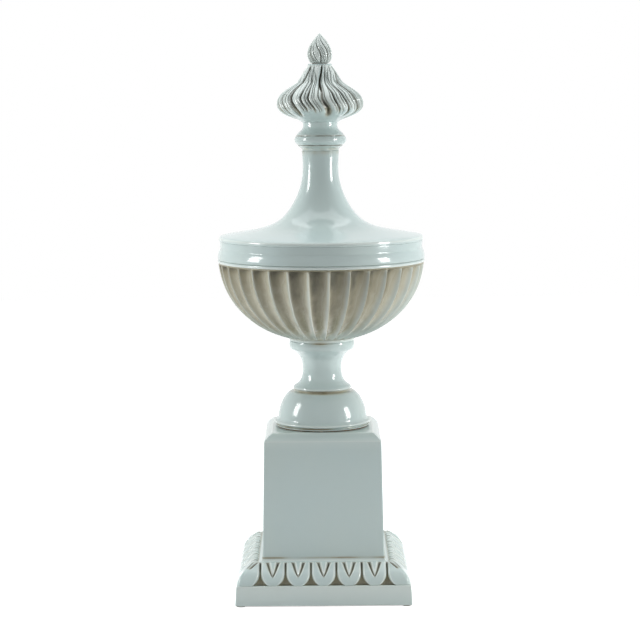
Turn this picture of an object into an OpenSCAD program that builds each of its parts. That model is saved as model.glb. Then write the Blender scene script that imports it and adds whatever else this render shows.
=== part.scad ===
// Covered urn vase on a square plinth, in glazed ceramic.
// Cast pieces stand one on another with a soft ring at each joint. A steel rod clamps base, plinth, foot
// and bowl together, and a brass rod clamps the lid, its collar, the flame and the bud.
// The lid rests on a loose felt ring: it turns on the rim and lifts off.
// Frame: origin in the middle of the footprint on the ground, +Z up, the front faces -Y, in millimetres.

/* [Ceramic] */
// Wall of the cast shells
wall = 7; // [5:0.5:9]
// Thickness of the decks that the rods clamp
deck_t = 10; // [7:0.5:13]
// Thickness of the cork rings between the castings
cork_t = 1.5; // [1:0.25:2.5]
// How far a cork ring lies back from the edge of the joint
cork_inset = 2; // [1:0.25:3]
// Radial clearance of a rod hole over its rod
hole_clear = 2; // [1:0.25:3]

/* [Base] */
// Width of the slab where it stands
base_w = 249; // [207:1:310]
// How far each side of the slab slopes in
slab_batter = 1.5; // [0:0.25:4]
// Height of the slab
slab_h = 28; // [20:0.5:40]
// Width of the ledge in front of the leaves
ledge_w = 3; // [1:0.5:6]
// Height of the leaf moulding
leaf_h = 24.5; // [18:0.5:34]
// How far the leaves stand out past the fillet above them
leaf_lip = 1; // [0.5:0.25:2]
// Height of the flat fillet above the leaves
fillet_h = 4; // [2:0.5:8]
// How far the base's top shows round the die
base_reveal = 0.75; // [0.5:0.25:3]
// Full leaves on each side
leaves = 5; // [3:1:8]
// Depth of the hollows between the leaves
leaf_relief = 3.5; // [2:0.25:5]
// Width of the foot rim that the slab stands on
rim_w = 16; // [14:0.5:22]
// Radius of the felt pads
pad_r = 6.5; // [4:0.5:7]
// Thickness of the felt pads
felt_t = 1.5; // [1:0.25:3]

/* [Plinth] */
// Width of the die at its foot
die_w = 172.5; // [143:0.5:207]
// How far each side of the die slopes in
die_batter = 3.25; // [0:0.25:6]
// Height of the die's sides
die_h = 168; // [100:1:260]
// How far the bevel on top runs in
bevel_w = 11.5; // [6:0.5:16]
// Height of the bevel
bevel_h = 10.5; // [6:0.5:14]

/* [Foot] */
// How far the foot lies back from the edge of the die's flat top
foot_margin = 1.5; // [1:0.25:6]
// Height of the foot's bottom bead
foot_bead_h = 7; // [4:0.5:9]
// How far that bead stands out
foot_bead_out = 2; // [1:0.25:3]
// Height of the dome above the bead
dome_h = 45; // [36:0.5:60]
// Radius of the lip where the stem meets the dome
stem_foot_r = 44; // [37:0.5:52]
// Radius of the stem's waist
waist_r = 27.8; // [23:0.2:33]
// Height of the stem above the dome
stem_h = 68.5; // [55:0.5:85]
// Radius of the collar under the bowl
boss_r = 47; // [40:0.5:50]

/* [Bowl] */
// Outer radius of the bowl under its rim
bowl_r = 147.3; // [122:0.1:178]
// Height of the fluted part
flute_h = 102; // [85:0.5:125]
// Height of the boss under the flutes
boss_h = 4.5; // [3:0.5:8]
// Number of flutes round the bowl
flutes = 32; // [16:1:40]
// Depth of a flute at its deepest
flute_depth = 6; // [3:0.25:7]
// Height of the rim band with its bead
band_h = 38.5; // [30:0.5:48]
// How far the bead of the rim band stands out
bead_out = 1.6; // [0.5:0.1:3]
// Width of the flat rim that the lid rests on
rim_seat_w = 9.5; // [7:0.5:12]

/* [Lid] */
// Height of the lid from its edge to the top of its neck
lid_h = 126; // [105:0.5:155]
// Height of the lid's rounded edge
lid_edge_h = 5; // [3:0.25:7]
// How far the lid stands out over the rim band
lid_over = 0.7; // [0:0.1:2]
// Radius of the neck's waist
neck_r = 25.4; // [23:0.2:31]
// Depth of the flange that keeps the lid on the bowl
flange_h = 14; // [8:0.5:20]
// Thickness of the flange
flange_t = 6; // [4:0.5:8]
// Radial clearance of the flange in the bowl
flange_clear = 3; // [1:0.25:5]
// Thickness of the felt ring under the lid
seal_t = 1.1; // [0.8:0.1:2]
// Clearance of the felt ring above the rim and below the lid
seal_clear = 0.2; // [0.1:0.05:0.3]
// How far the felt ring lies back from both edges of the rim
seal_inset = 1.5; // [0.5:0.25:2.5]

/* [Finial] */
// Height of the turned collar
collar_h = 37.5; // [31:0.5:46]
// Radius of the collar's bead
collar_r = 37; // [33:0.5:45]
// Radius of the top of the collar
collar_top_r = 25; // [21:0.5:29]
// Height of the swirled flame
swirl_h = 82; // [68:0.5:99]
// Radius of the flame where it is widest
swirl_r = 62.4; // [54:0.2:75]
// Strands round the flame
strands = 18; // [10:1:22]
// Depth of the grooves between the strands
strand_depth = 5; // [2:0.25:6]
// Height of the bud
bud_h = 42; // [38:0.5:51]
// Radius of the bud where it is widest
bud_r = 18; // [16:0.25:22]

/* [Rods and nuts] */
// Radius of the steel rod
tie_r = 5; // [4:0.5:6]
// Radius of the brass rod
finial_rod_r = 3; // [2.5:0.25:4]
// Clearance between a rod and the thread of its nut
thread_clear = 0.05; // [0.02:0.01:0.1]
// Clearance between a rod and its washers
washer_clear = 0.5; // [0.2:0.1:1]
// How far a washer stands out past the flats of its nut
washer_over = 4; // [2:0.25:6]
// How far a rubber washer stands out past its metal one
cushion_over = 2.5; // [1:0.5:4]
// How far a rod stands out of its nut
rod_stub = 4; // [2:0.5:6]
// Width across the flats of the steel nuts
nut_w = 17; // [16:0.5:20]
// Height of the steel nuts
nut_h = 8; // [6:0.5:10]
// Width across the flats of the brass nut
small_nut_w = 10; // [9.5:0.5:13]
// Height of the brass nut
small_nut_h = 5; // [4:0.5:7]
// Thickness of the metal washers
washer_t = 2; // [1:0.25:3]
// Thickness of the rubber washers
cushion_t = 2; // [1:0.25:4]
// Width of the clamp plate under the base
plate_w = 80; // [50:1:100]
// Thickness of the clamp plate
plate_t = 4; // [3:0.5:8]
// Length of the brass insert in the bud
socket_h = 14; // [10:0.5:18]
// Wall of the brass insert
socket_wall = 2.5; // [1.5:0.25:3]

/* [Hidden] */
$fn = 128;

glaze = [0.68, 0.74, 0.73];
washed = [0.64, 0.64, 0.56];
cork = [0.55, 0.42, 0.28];
felt = [0.35, 0.36, 0.33];
steel = [0.62, 0.63, 0.64];
brass = [0.72, 0.58, 0.30];
rubber = [0.12, 0.12, 0.12];

// Heights of the joints, each from the piece below
z_slab = felt_t;
z_ledge = z_slab + slab_h;
z_leaf_top = z_ledge + leaf_h;
z_base_top = z_leaf_top + fillet_h;
z_die = z_base_top + cork_t;
z_die_edge = z_die + die_h;
z_die_top = z_die_edge + bevel_h;
z_foot = z_die_top + cork_t;
z_dome = z_foot + foot_bead_h;
z_stem = z_dome + dome_h;
z_stem_top = z_stem + stem_h;
z_bowl = z_stem_top + cork_t;
z_flute = z_bowl + boss_h;
z_band = z_flute + flute_h;
z_rim = z_band + band_h;
z_seal = z_rim + seal_clear;
z_lid = z_seal + seal_t + seal_clear;
z_shoulder = z_lid + lid_edge_h;
z_neck_top = z_lid + lid_h;
z_collar = z_neck_top + cork_t;
z_collar_top = z_collar + collar_h;
z_swirl = z_collar_top + cork_t;
z_swirl_top = z_swirl + swirl_h;
z_bud = z_swirl_top + cork_t;
z_top = z_bud + bud_h;

// Decks, floors and hardware that follow from them
z_base_deck = z_base_top - deck_t;
z_plate = z_base_deck - plate_t;
z_base_washer = z_plate - washer_t;
z_base_nut = z_base_washer - nut_h;
tie_hole_r = tie_r + hole_clear;
finial_hole_r = finial_rod_r + hole_clear;
washer_r = nut_w / 2 + washer_over;
small_washer_r = small_nut_w / 2 + washer_over;
slab_top_w = base_w - 2 * slab_batter;
leaf_foot_w = slab_top_w - 2 * ledge_w;
base_top_w = die_w + 2 * base_reveal;
leaf_top_w = base_top_w + 2 * leaf_lip;
die_top_w = die_w - 2 * die_batter;
die_flat_w = die_top_w - 2 * bevel_w;
foot_r = die_flat_w / 2 - foot_margin;
foot_in_r = foot_r - foot_bead_out - wall - 1;
bowl_wall = wall + flute_depth;
bowl_mouth_r = bowl_r - bead_out - rim_seat_w;
band_top_r = bowl_r - bead_out;
lid_r = band_top_r + lid_over;
flange_r = bowl_mouth_r - flange_clear;
seal_w = rim_seat_w - 2 * seal_inset;
seal_in_r = bowl_mouth_r + seal_inset;
neck_top_r = neck_r + 1.4;
z_neck_deck = z_neck_top - deck_t;
swirl_foot_r = collar_top_r + 1;
swirl_top_r = bud_r - 1.6;
bud_foot_r = bud_r - 5;
// Small roundings that outlines share
edge_round = 1.5;
// How far a cork ring lies back from its rod hole
cork_hole = 3;
// How far one solid of a casting runs into the next
sink = 2;

// A point, and the unit normal to its right, on a curve with four control points
function curve_at(c, t) = pow(1 - t, 3) * c[0] + 3 * t * pow(1 - t, 2) * c[1]
    + 3 * t * t * (1 - t) * c[2] + pow(t, 3) * c[3];
function slope_at(c, t) = 3 * pow(1 - t, 2) * (c[1] - c[0]) + 6 * t * (1 - t) * (c[2] - c[1])
    + 3 * t * t * (c[3] - c[2]);
function normal_at(c, t) = let (s = slope_at(c, t)) [s[1], -s[0]] / norm(s);
// Points along such a curve, moved sideways by out
function curve(c, n, out = 0) = [for (i = [0:n]) curve_at(c, i / n) + out * normal_at(c, i / n)];
function reversed(p) = [for (i = [len(p) - 1:-1:0]) p[i]];
// A half-round bead that stands out of a straight edge, from its lower end to its upper
function bead(r, z, h, out, n = 8) =
    [for (i = [0:n]) [r + out * sin(180 * i / n), z + h * (1 - cos(180 * i / n)) / 2]];

// Outlines of the turned pieces, from the bottom up
dome_line = [[foot_r - 3.5, z_dome], [foot_r - 7.5, z_dome + dome_h * 0.2],
    [foot_r - 7, z_dome + dome_h * 0.68], [stem_foot_r + 2, z_stem - 1]];
z_waist = z_stem + stem_h * 0.42;
stem_low = [[stem_foot_r - 1, z_stem + 1], [stem_foot_r - 9, z_stem + 6], [waist_r, z_waist - 12],
    [waist_r, z_waist]];
z_stem_collar = z_stem_top - 11;
stem_high = [[waist_r, z_waist], [waist_r, z_waist + 13], [waist_r + 4.2, z_stem_collar - 6.5],
    [boss_r - 3.5, z_stem_collar]];
bowl_line = [[boss_r + 5, z_flute], [bowl_r * 0.64, z_flute + flute_h * 0.108],
    [bowl_r * 0.957, z_flute + flute_h * 0.451], [bowl_r, z_band]];
band_low = [[bowl_r, z_band + 2], [bowl_r + bead_out * 2, z_band + 8], [bowl_r + bead_out * 1.2, z_band + 16],
    [bowl_r - bead_out, z_band + 21]];
band_high = [[bowl_r - bead_out, z_band + 21], [bowl_r - bead_out * 2, z_band + 26],
    [bowl_r - bead_out * 1.8, z_rim - 6], [band_top_r, z_rim]];
lid_span = z_neck_top - z_shoulder;
shoulder_line = [[lid_r - 2, z_shoulder], [lid_r * 0.766, z_shoulder + lid_span * 0.057],
    [lid_r * 0.534, z_shoulder + lid_span * 0.066], [neck_r + 32.6, z_shoulder + lid_span * 0.195]];
throat_line = [shoulder_line[3], [neck_r + 16.6, z_shoulder + lid_span * 0.303],
    [neck_r, z_shoulder + lid_span * 0.55], [neck_r, z_shoulder + lid_span * 0.8]];
neck_line = [throat_line[3], [neck_r, z_shoulder + lid_span * 0.87], [neck_r + 0.5, z_neck_top - 6],
    [neck_top_r, z_neck_top]];
collar_bead_h = 13;
z_collar_bead = z_collar + 8;
z_bead_top = z_collar_bead + collar_bead_h;
collar_cavetto = [[collar_r - 4, z_bead_top + 2], [collar_r - 9, z_bead_top + 6],
    [collar_top_r - 1, z_collar_top - 9], [collar_top_r, z_collar_top]];
z_wide = z_swirl + swirl_h * 0.311;
z_shrug = z_swirl + swirl_h * 0.689;
swirl_under = [[swirl_foot_r, z_swirl], [swirl_foot_r + 5, z_swirl + 6.5], [swirl_r, z_swirl + 7.5],
    [swirl_r, z_wide]];
swirl_over = [[swirl_r, z_wide], [swirl_r, z_wide + 16], [swirl_r * 0.72, z_shrug - 9],
    [swirl_r * 0.5, z_shrug]];
swirl_tip = [[swirl_r * 0.5, z_shrug], [swirl_r * 0.42, z_shrug + 5], [swirl_top_r + 7, z_swirl_top - 9],
    [swirl_top_r, z_swirl_top]];
bud_low = [[bud_foot_r, z_bud], [bud_r + 2, z_bud + bud_h * 0.14], [bud_r + 1, z_bud + bud_h * 0.43],
    [bud_r * 0.75, z_bud + bud_h * 0.62]];
bud_high = [bud_low[3], [bud_r * 0.56, z_bud + bud_h * 0.74], [bud_r * 0.35, z_top - 5], [0.8, z_top - 0.2]];

// A turned solid from its outline, and a square one whose four sides have the same outline
module turned(points) {
    rotate_extrude() polygon(points);
}
module squared(points) {
    outline = concat(points, [for (p = reversed(points)) [-p[0], p[1]]]);
    reach = 2 * max([for (p = points) p[0]]) + 2;
    intersection() {
        rotate([90, 0, 0]) linear_extrude(reach, center = true) polygon(outline);
        rotate([90, 0, 90]) linear_extrude(reach, center = true) polygon(outline);
    }
}
module flat_ring(outer_r, inner_r, z, h) {
    translate([0, 0, z]) difference() {
        cylinder(h = h, r = outer_r);
        translate([0, 0, -1]) cylinder(h = h + 2, r = inner_r);
    }
}
module nut(across, h, rod_r, z) {
    translate([0, 0, z]) difference() {
        cylinder(h = h, r = across / sqrt(3), $fn = 6);
        translate([0, 0, -1]) cylinder(h = h + 2, r = rod_r + thread_clear);
    }
}
module bore(r, z_low, z_high) {
    translate([0, 0, z_low - 1]) cylinder(h = z_high - z_low + 2, r = r);
}

// A closed skin through rings of points, each ring an equal number of points seen anticlockwise from above
module ringed(rings) {
    m = len(rings[0]);
    n = len(rings) - 1;
    sides = [for (i = [0:n - 1]) for (j = [0:m - 1]) let (k = (j + 1) % m)
        each [[i * m + j, (i + 1) * m + j, (i + 1) * m + k], [i * m + j, (i + 1) * m + k, i * m + k]]];
    polyhedron(points = [for (ring = rings) each ring],
        faces = concat(sides, [[for (j = [0:m - 1]) j], [for (j = [m - 1:-1:0]) n * m + j]]));
}

// Bowl skin: ribs at the curve itself, flutes scooped in along its normal
flute_steps = [0, 0.07, 0.27, 0.5, 0.73, 0.93];
function scoop(u) = max(0, 1 - pow((2 * u - 1) / 0.88, 2));
function flute_fade(t) = min(1, 0.25 + 1.6 * t) * (t > 0.995 ? 0 : min(1, (1 - t) / 0.06));
bowl_stations = [0, 0.1, 0.2, 0.3, 0.4, 0.5, 0.6, 0.7, 0.8, 0.88, 0.94, 0.985];
function flute_ring(t, depth) = [for (k = [0:flutes - 1]) for (u = flute_steps)
    let (a = 360 * (k + 0.5 + u) / flutes,
        p = curve_at(bowl_line, t) - depth * scoop(u) * normal_at(bowl_line, t))
    [p[0] * cos(a), p[0] * sin(a), p[1]]];
function rib_ring(r, z) = [for (k = [0:flutes - 1]) for (u = flute_steps)
    let (a = 360 * (k + 0.5 + u) / flutes) [r * cos(a), r * sin(a), z]];
module fluted_skin() {
    ringed(concat([for (t = bowl_stations) flute_ring(t, t == 0 ? 0 : flute_depth * flute_fade(t))],
        [rib_ring(bowl_r - 2 * sink, z_band + sink / 2), rib_ring(bowl_r - 2 * sink, z_band + 2 * sink)]));
}

// Flame skin: strands that lean one way and back, with a groove after each
strand_steps = [0, 0.2, 0.4, 0.6, 0.8, 0.93];
function groove(u) = u > 0.85 ? 1 : pow(2 * abs(u - 0.4) / 0.9, 3);
function strand_ring(c, t, depth, turn, count) = [for (k = [0:count - 1]) for (u = strand_steps)
    let (a = 360 * (k + u) / count + turn, p = curve_at(c, t) - depth * groove(u) * normal_at(c, t))
    [p[0] * cos(a), p[0] * sin(a), p[1]]];
under_stations = [0, 0.25, 0.5, 0.75];
over_stations = [0, 0.2, 0.4, 0.6, 0.8];
tip_stations = [0, 0.25, 0.5, 0.75, 1];
lean = -12;
module swirl_skin() {
    ringed(concat(
        [for (t = under_stations) strand_ring(swirl_under, t, strand_depth * t * t, 0, strands)],
        [for (t = over_stations) strand_ring(swirl_over, t, strand_depth, lean * sin(90 * t), strands)],
        [for (t = tip_stations) strand_ring(swirl_tip, t, t == 1 ? 0 : strand_depth * (1 - 0.75 * t),
            lean * (1 - 1.6 * t), strands)]));
}
bud_strands = 7;
bud_stations = [0, 0.15, 0.35, 0.6, 0.8];
bud_turn = -65;
module bud_skin() {
    ringed(concat(
        [for (t = bud_stations)
            strand_ring(bud_low, t, t == 0 ? 0 : bud_r * 0.14, bud_turn * t * 0.6, bud_strands)],
        [for (t = [0, 0.3, 0.6, 1])
            strand_ring(bud_high, t, bud_r * 0.13 * (1 - t), bud_turn * (0.6 + 0.4 * t), bud_strands)]));
}

// One side of the leaf band from the front: tongues with two cuts each, and half a tongue at each corner.
// The tongues dip into the slab by leaf_sink and stand leaf_gap apart. A web of leaf_web parts their cuts.
// Each corner tongue gets corner_share of a pitch.
corner_share = 0.8;
leaf_pitch = leaf_foot_w / (leaves + 2 * corner_share);
leaf_round_h = leaf_h * 0.62;
leaf_sink = 0.6;
leaf_gap = 1.2;
leaf_web = 1.6;
function round_end(w, n, turn) =
    [for (i = [0:n]) [-w * cos(turn * i / n), leaf_round_h * (1 - sin(turn * i / n)) - leaf_sink]];
module tongue() {
    w = (leaf_pitch - leaf_gap) / 2;
    difference() {
        polygon(concat([[-w, leaf_h + 1]], round_end(w, 12, 180), [[w, leaf_h + 1]]));
        for (s = [-1, 1]) polygon([[s * w * 0.62, leaf_h + 2], [s * w * 0.3, leaf_h + 2],
            [s * leaf_web / 2, leaf_h * 0.42], [s * (leaf_web / 2 + w * 0.12), leaf_h * 0.36]]);
    }
}
module corner_tongue() {
    far = leaf_foot_w / 2 + 2;
    near = (leaf_pitch * leaves + leaf_gap) / 2;
    w = leaf_pitch * 0.6;
    polygon(concat([[near, leaf_h + 1]], [for (p = round_end(w, 6, 90)) [near + w + p[0], p[1]]],
        [[far, -leaf_sink], [far, leaf_h + 1]]));
}
module leaf_side() {
    for (i = [0:leaves - 1]) translate([(i - (leaves - 1) / 2) * leaf_pitch, 0]) tongue();
    corner_tongue();
    mirror([1, 0]) corner_tongue();
}
module side_wedge() {
    reach = leaf_foot_w / 2 + 4;
    translate([0, 0, -1]) linear_extrude(leaf_h + 1) polygon([[0, 0], [reach, -reach], [-reach, -reach]]);
}
leaf_bulge = [[leaf_foot_w / 2 - 0.5, 0], [leaf_foot_w / 2 + 0.5, leaf_h * 0.4],
    [leaf_top_w / 2 + 18, leaf_h * 0.78], [leaf_top_w / 2, leaf_h]];
module leaf_band() {
    for (a = [0:90:270]) rotate(a) intersection() {
        squared(concat([[leaf_foot_w / 2 - 0.5, -1]], curve(leaf_bulge, 5)));
        side_wedge();
        rotate([90, 0, 0]) linear_extrude(leaf_foot_w) leaf_side();
    }
}

module felt_pads() color(felt) {
    reach = base_w / 2 - rim_w / 2;
    for (x = [-reach, reach]) for (y = [-reach, reach]) translate([x, y, 0]) cylinder(h = felt_t, r = pad_r);
}

module base_casting() color(glaze) difference() {
    union() {
        squared(concat([[base_w / 2, z_slab], [slab_top_w / 2, z_ledge - 1], [slab_top_w / 2 - 1, z_ledge]],
            curve([for (p = leaf_bulge) [p[0] - leaf_relief, p[1] + z_ledge]], 5),
            [[base_top_w / 2, z_leaf_top], [base_top_w / 2, z_base_top]]));
        translate([0, 0, z_ledge]) leaf_band();
    }
    squared([[base_w / 2 - rim_w, z_slab - 1], [base_w / 2 - rim_w, z_ledge - wall + 1],
        [die_w / 2 - wall, z_base_deck]]);
    bore(tie_hole_r, z_base_deck, z_base_top);
}

module clamp_plate() color(steel) difference() {
    translate([-plate_w / 2, -plate_w / 2, z_plate]) cube([plate_w, plate_w, plate_t]);
    bore(tie_hole_r, z_plate, z_base_deck);
}

module base_washer() color(steel) flat_ring(washer_r, tie_r + washer_clear, z_base_washer, washer_t);

module base_nut() color(steel) nut(nut_w, nut_h, tie_r, z_base_nut);

module tie_rod() color(steel) translate([0, 0, z_base_nut - rod_stub])
    cylinder(h = z_bowl_nut + nut_h + rod_stub - (z_base_nut - rod_stub), r = tie_r);

module plinth_cork() color(cork) difference() {
    outer = die_w / 2 - cork_inset;
    inner = die_w / 2 - wall;
    translate([-outer, -outer, z_base_top]) cube([2 * outer, 2 * outer, cork_t]);
    translate([-inner, -inner, z_base_top - 1]) cube([2 * inner, 2 * inner, cork_t + 2]);
}

module plinth_casting() color(glaze) difference() {
    squared([[die_w / 2, z_die], [die_top_w / 2, z_die_edge], [die_flat_w / 2, z_die_top]]);
    squared([[die_w / 2 - wall, z_die - 1], [die_top_w / 2 - wall, z_die_edge - deck_t],
        [die_flat_w / 2 - wall, z_die_top - deck_t]]);
    bore(tie_hole_r, z_die_top - deck_t, z_die_top);
}

module foot_cork() color(cork) flat_ring(foot_r - foot_bead_out - cork_inset, foot_in_r, z_die_top, cork_t);

foot_outline = concat(bead(foot_r - foot_bead_out, z_foot, foot_bead_h, foot_bead_out), curve(dome_line, 10),
    [[stem_foot_r + 1, z_stem - 1], [stem_foot_r + 1, z_stem]],
    [[stem_foot_r, z_stem], [stem_foot_r, z_stem + 1]],
    curve(stem_low, 8), curve(stem_high, 8),
    [[boss_r - 1.2, z_stem_collar + 1.5], [boss_r, z_stem_collar + 5], [boss_r, z_stem_top - edge_round],
    [boss_r - edge_round, z_stem_top]]);
stem_wall = wall + 3;
z_stem_deck = z_stem_top - deck_t - 4;
module foot_casting() color(glaze) difference() {
    turned(concat(foot_outline, [[0, z_stem_top], [0, z_foot]]));
    turned(concat([[0, z_foot - 1], [foot_in_r, z_foot - 1]], curve(dome_line, 10, -wall),
        curve(stem_low, 8, -stem_wall), [[waist_r - stem_wall, z_stem_deck], [0, z_stem_deck]]));
    bore(tie_hole_r, z_stem_deck, z_stem_top);
}

module bowl_cork() color(cork)
    flat_ring(boss_r - edge_round - cork_inset, tie_hole_r + cork_hole, z_stem_top, cork_t);

cavity_line = curve(bowl_line, 12, -bowl_wall);
z_bowl_floor = cavity_line[0][1];
z_bowl_washer = z_bowl_floor + cushion_t;
z_bowl_nut = z_bowl_washer + washer_t;
module bowl_casting() color(washed) difference() {
    union() {
        fluted_skin();
        turned([[boss_r - edge_round, z_bowl], [boss_r, z_bowl + edge_round], [boss_r + 0.5, z_flute - 0.5],
            [boss_r - 1, z_flute + sink], [0, z_flute + sink], [0, z_bowl]]);
        turned(concat([[bowl_mouth_r - sink, z_band + 1], [bowl_r - edge_round, z_band + 1]],
            curve(band_low, 8), curve(band_high, 5), [[bowl_mouth_r - sink, z_rim]]));
    }
    turned(concat([[0, z_bowl_floor]], cavity_line, [[bowl_mouth_r, z_band + wall], [bowl_mouth_r, z_rim + 1],
        [0, z_rim + 1]]));
    bore(tie_hole_r, z_bowl, z_bowl_floor);
}

module bowl_cushion() color(rubber)
    flat_ring(washer_r + cushion_over, tie_r + washer_clear, z_bowl_floor, cushion_t);

module bowl_washer() color(steel) flat_ring(washer_r, tie_r + washer_clear, z_bowl_washer, washer_t);

module bowl_nut() color(steel) nut(nut_w, nut_h, tie_r, z_bowl_nut);

module lid_seal() color(felt) flat_ring(seal_in_r + seal_w, seal_in_r, z_seal, seal_t);

lid_edge = [[lid_r - 1.2, z_lid], [lid_r, z_lid + lid_edge_h * 0.4], [lid_r - 0.5, z_lid + lid_edge_h * 0.8]];
lid_outline = concat(lid_edge,
    curve(shoulder_line, 10), curve(throat_line, 10), curve(neck_line, 4));
flange_in_r = flange_r - flange_t;
lid_ceiling = [for (p = curve(shoulder_line, 20, -wall)) if (p[0] < flange_in_r - 1) p];
lid_inside = concat([[flange_in_r, z_lid - flange_h - 1], [flange_in_r, lid_ceiling[0][1] - 0.5]],
    lid_ceiling, curve(throat_line, 10, -wall), [[neck_r - wall, z_neck_deck]]);
module lid_casting() color(glaze) difference() {
    union() {
        turned(concat(lid_outline, [[0, z_neck_top], [0, z_lid]]));
        flat_ring(flange_r, flange_in_r, z_lid - flange_h, flange_h + 1);
    }
    turned(concat([[0, z_lid - flange_h - 1]], lid_inside, [[0, z_neck_deck]]));
    bore(finial_hole_r, z_neck_deck, z_neck_top);
}

module collar_cork() color(cork)
    flat_ring(neck_top_r - cork_inset, finial_hole_r + cork_hole, z_neck_top, cork_t);

collar_outline = concat([[neck_top_r + 1.2, z_collar], [neck_top_r + 3, z_collar + 2.5],
    [collar_r - 5.5, z_collar + 5], [collar_r - 5.5, z_collar_bead - 0.5]],
    bead(collar_r - 4, z_collar_bead, collar_bead_h, 4),
    [[collar_r - 4.8, z_bead_top + 0.5], [collar_r - 4.8, z_bead_top + 1.5]],
    curve(collar_cavetto, 8));
module neck_collar() color(glaze) difference() {
    turned(concat(collar_outline, [[0, z_collar_top], [0, z_collar]]));
    bore(finial_hole_r, z_collar, z_collar_top);
    translate([0, 0, z_collar + deck_t]) cylinder(h = collar_h - 2 * deck_t, r = collar_top_r - wall - 3);
}

module swirl_cork() color(cork)
    flat_ring(collar_top_r - cork_inset, finial_hole_r + cork_hole, z_collar_top, cork_t);

swirl_wall = wall + strand_depth;
drain_r = swirl_foot_r - wall - 4;
z_drain = z_swirl + swirl_wall;
module flame_swirl() color(glaze) difference() {
    swirl_skin();
    turned(concat([[0, z_swirl - 1], [drain_r, z_swirl - 1], [drain_r, z_drain - 1]],
        curve([[drain_r, z_drain], [swirl_r - swirl_wall, z_drain + 0.5], [swirl_r - swirl_wall, z_wide - 2],
        [swirl_r - swirl_wall, z_wide]], 6),
        curve([[swirl_r - swirl_wall, z_wide], [swirl_r - swirl_wall, z_wide + 8],
        [swirl_r * 0.5, z_shrug - 18], [finial_hole_r + 6, z_shrug - 8]], 6),
        [[finial_hole_r, z_shrug], [0, z_shrug]]));
    bore(finial_hole_r, z_shrug - 2, z_swirl_top);
}

module bud_cork() color(cork) flat_ring(bud_foot_r - cork_inset, finial_hole_r, z_swirl_top, cork_t);

socket_r = finial_rod_r + socket_wall;
module flame_bud() color(glaze) difference() {
    bud_skin();
    translate([0, 0, z_bud - 1]) cylinder(h = socket_h + rod_stub + 1, r = socket_r + thread_clear);
}

module bud_socket() color(brass)
    flat_ring(socket_r, finial_rod_r + thread_clear, z_bud, socket_h);

module finial_rod() color(brass) translate([0, 0, z_finial_nut - rod_stub])
    cylinder(h = z_bud + socket_h - (z_finial_nut - rod_stub), r = finial_rod_r);

z_finial_washer = z_neck_deck - cushion_t - washer_t;
z_finial_nut = z_finial_washer - small_nut_h;
module finial_cushion() color(rubber)
    flat_ring(small_washer_r + cushion_over, finial_rod_r + washer_clear, z_neck_deck - cushion_t, cushion_t);

module finial_washer() color(brass)
    flat_ring(small_washer_r, finial_rod_r + washer_clear, z_finial_washer, washer_t);

module finial_nut() color(brass) nut(small_nut_w, small_nut_h, finial_rod_r, z_finial_nut);

felt_pads();
base_casting();
clamp_plate();
base_washer();
base_nut();
tie_rod();
plinth_cork();
plinth_casting();
foot_cork();
foot_casting();
bowl_cork();
bowl_casting();
bowl_cushion();
bowl_washer();
bowl_nut();
lid_seal();
lid_casting();
collar_cork();
neck_collar();
swirl_cork();
flame_swirl();
bud_cork();
flame_bud();
bud_socket();
finial_rod();
finial_cushion();
finial_washer();
finial_nut();
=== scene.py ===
# Looks of a tall covered urn in glazed stoneware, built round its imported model.
# The eight castings are modelled again here as fine meshes: turned, pressed, fluted and carved.
# Rods, nuts and washers get their threads and chamfers.
# Outlines are drawn in millimetres and meshes are in metres, with +Z up and the front towards -Y.
import math

import bpy
import numpy as np
from mathutils import Matrix, Vector


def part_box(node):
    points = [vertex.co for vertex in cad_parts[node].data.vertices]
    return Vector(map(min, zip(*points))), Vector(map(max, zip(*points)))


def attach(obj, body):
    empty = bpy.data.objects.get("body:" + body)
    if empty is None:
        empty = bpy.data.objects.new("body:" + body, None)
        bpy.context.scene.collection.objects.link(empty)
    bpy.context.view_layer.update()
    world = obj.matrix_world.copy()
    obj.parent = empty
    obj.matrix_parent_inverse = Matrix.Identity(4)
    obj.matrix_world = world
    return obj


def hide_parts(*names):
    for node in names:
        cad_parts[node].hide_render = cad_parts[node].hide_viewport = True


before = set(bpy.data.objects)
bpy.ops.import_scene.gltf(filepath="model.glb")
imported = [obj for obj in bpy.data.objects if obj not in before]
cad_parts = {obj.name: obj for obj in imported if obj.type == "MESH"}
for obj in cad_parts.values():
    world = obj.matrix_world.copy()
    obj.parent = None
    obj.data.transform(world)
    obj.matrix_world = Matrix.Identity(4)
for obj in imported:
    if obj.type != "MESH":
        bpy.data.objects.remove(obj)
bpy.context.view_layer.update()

mm = 0.001


# Sizes. Heights and reaches come from the frame, in millimetres.
def extent(node):
    """How far a node reaches along X, its lowest height and its highest, in millimetres."""
    low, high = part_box(node)
    return high.x / mm, low.z / mm, high.z / mm


base_half, slab_z, base_top_z = extent("base_casting")
die_half, die_z, die_top_z = extent("plinth_casting")
foot_r, foot_z, stem_top_z = extent("foot_casting")
bowl_reach, bowl_z, rim_z = extent("bowl_casting")
lid_r, flange_z, neck_top_z = extent("lid_casting")
collar_z, collar_top_z = extent("neck_collar")[1:]
swirl_r, swirl_z, swirl_top_z = extent("flame_swirl")
bud_r, bud_z, tip_z = extent("flame_bud")
tie_r = extent("tie_rod")[0]
brass_r = extent("finial_rod")[0]
plate_half, plate_z, base_deck_z = extent("clamp_plate")

wall = 7
deck = 10
hole_clear = 2
tie_hole = tie_r + hole_clear
brass_hole = brass_r + hole_clear
# The boss under the bowl and the head of the stem below it
boss_r = 47.0
# A casting's thin edge closes a cork joint: it stands past_cork outside the cork, a hair off its neighbour
past_cork = 0.3
hair = 0.08
# A closed end keeps this radius on the axis, too small to see
pole_r = 0.02


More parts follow.
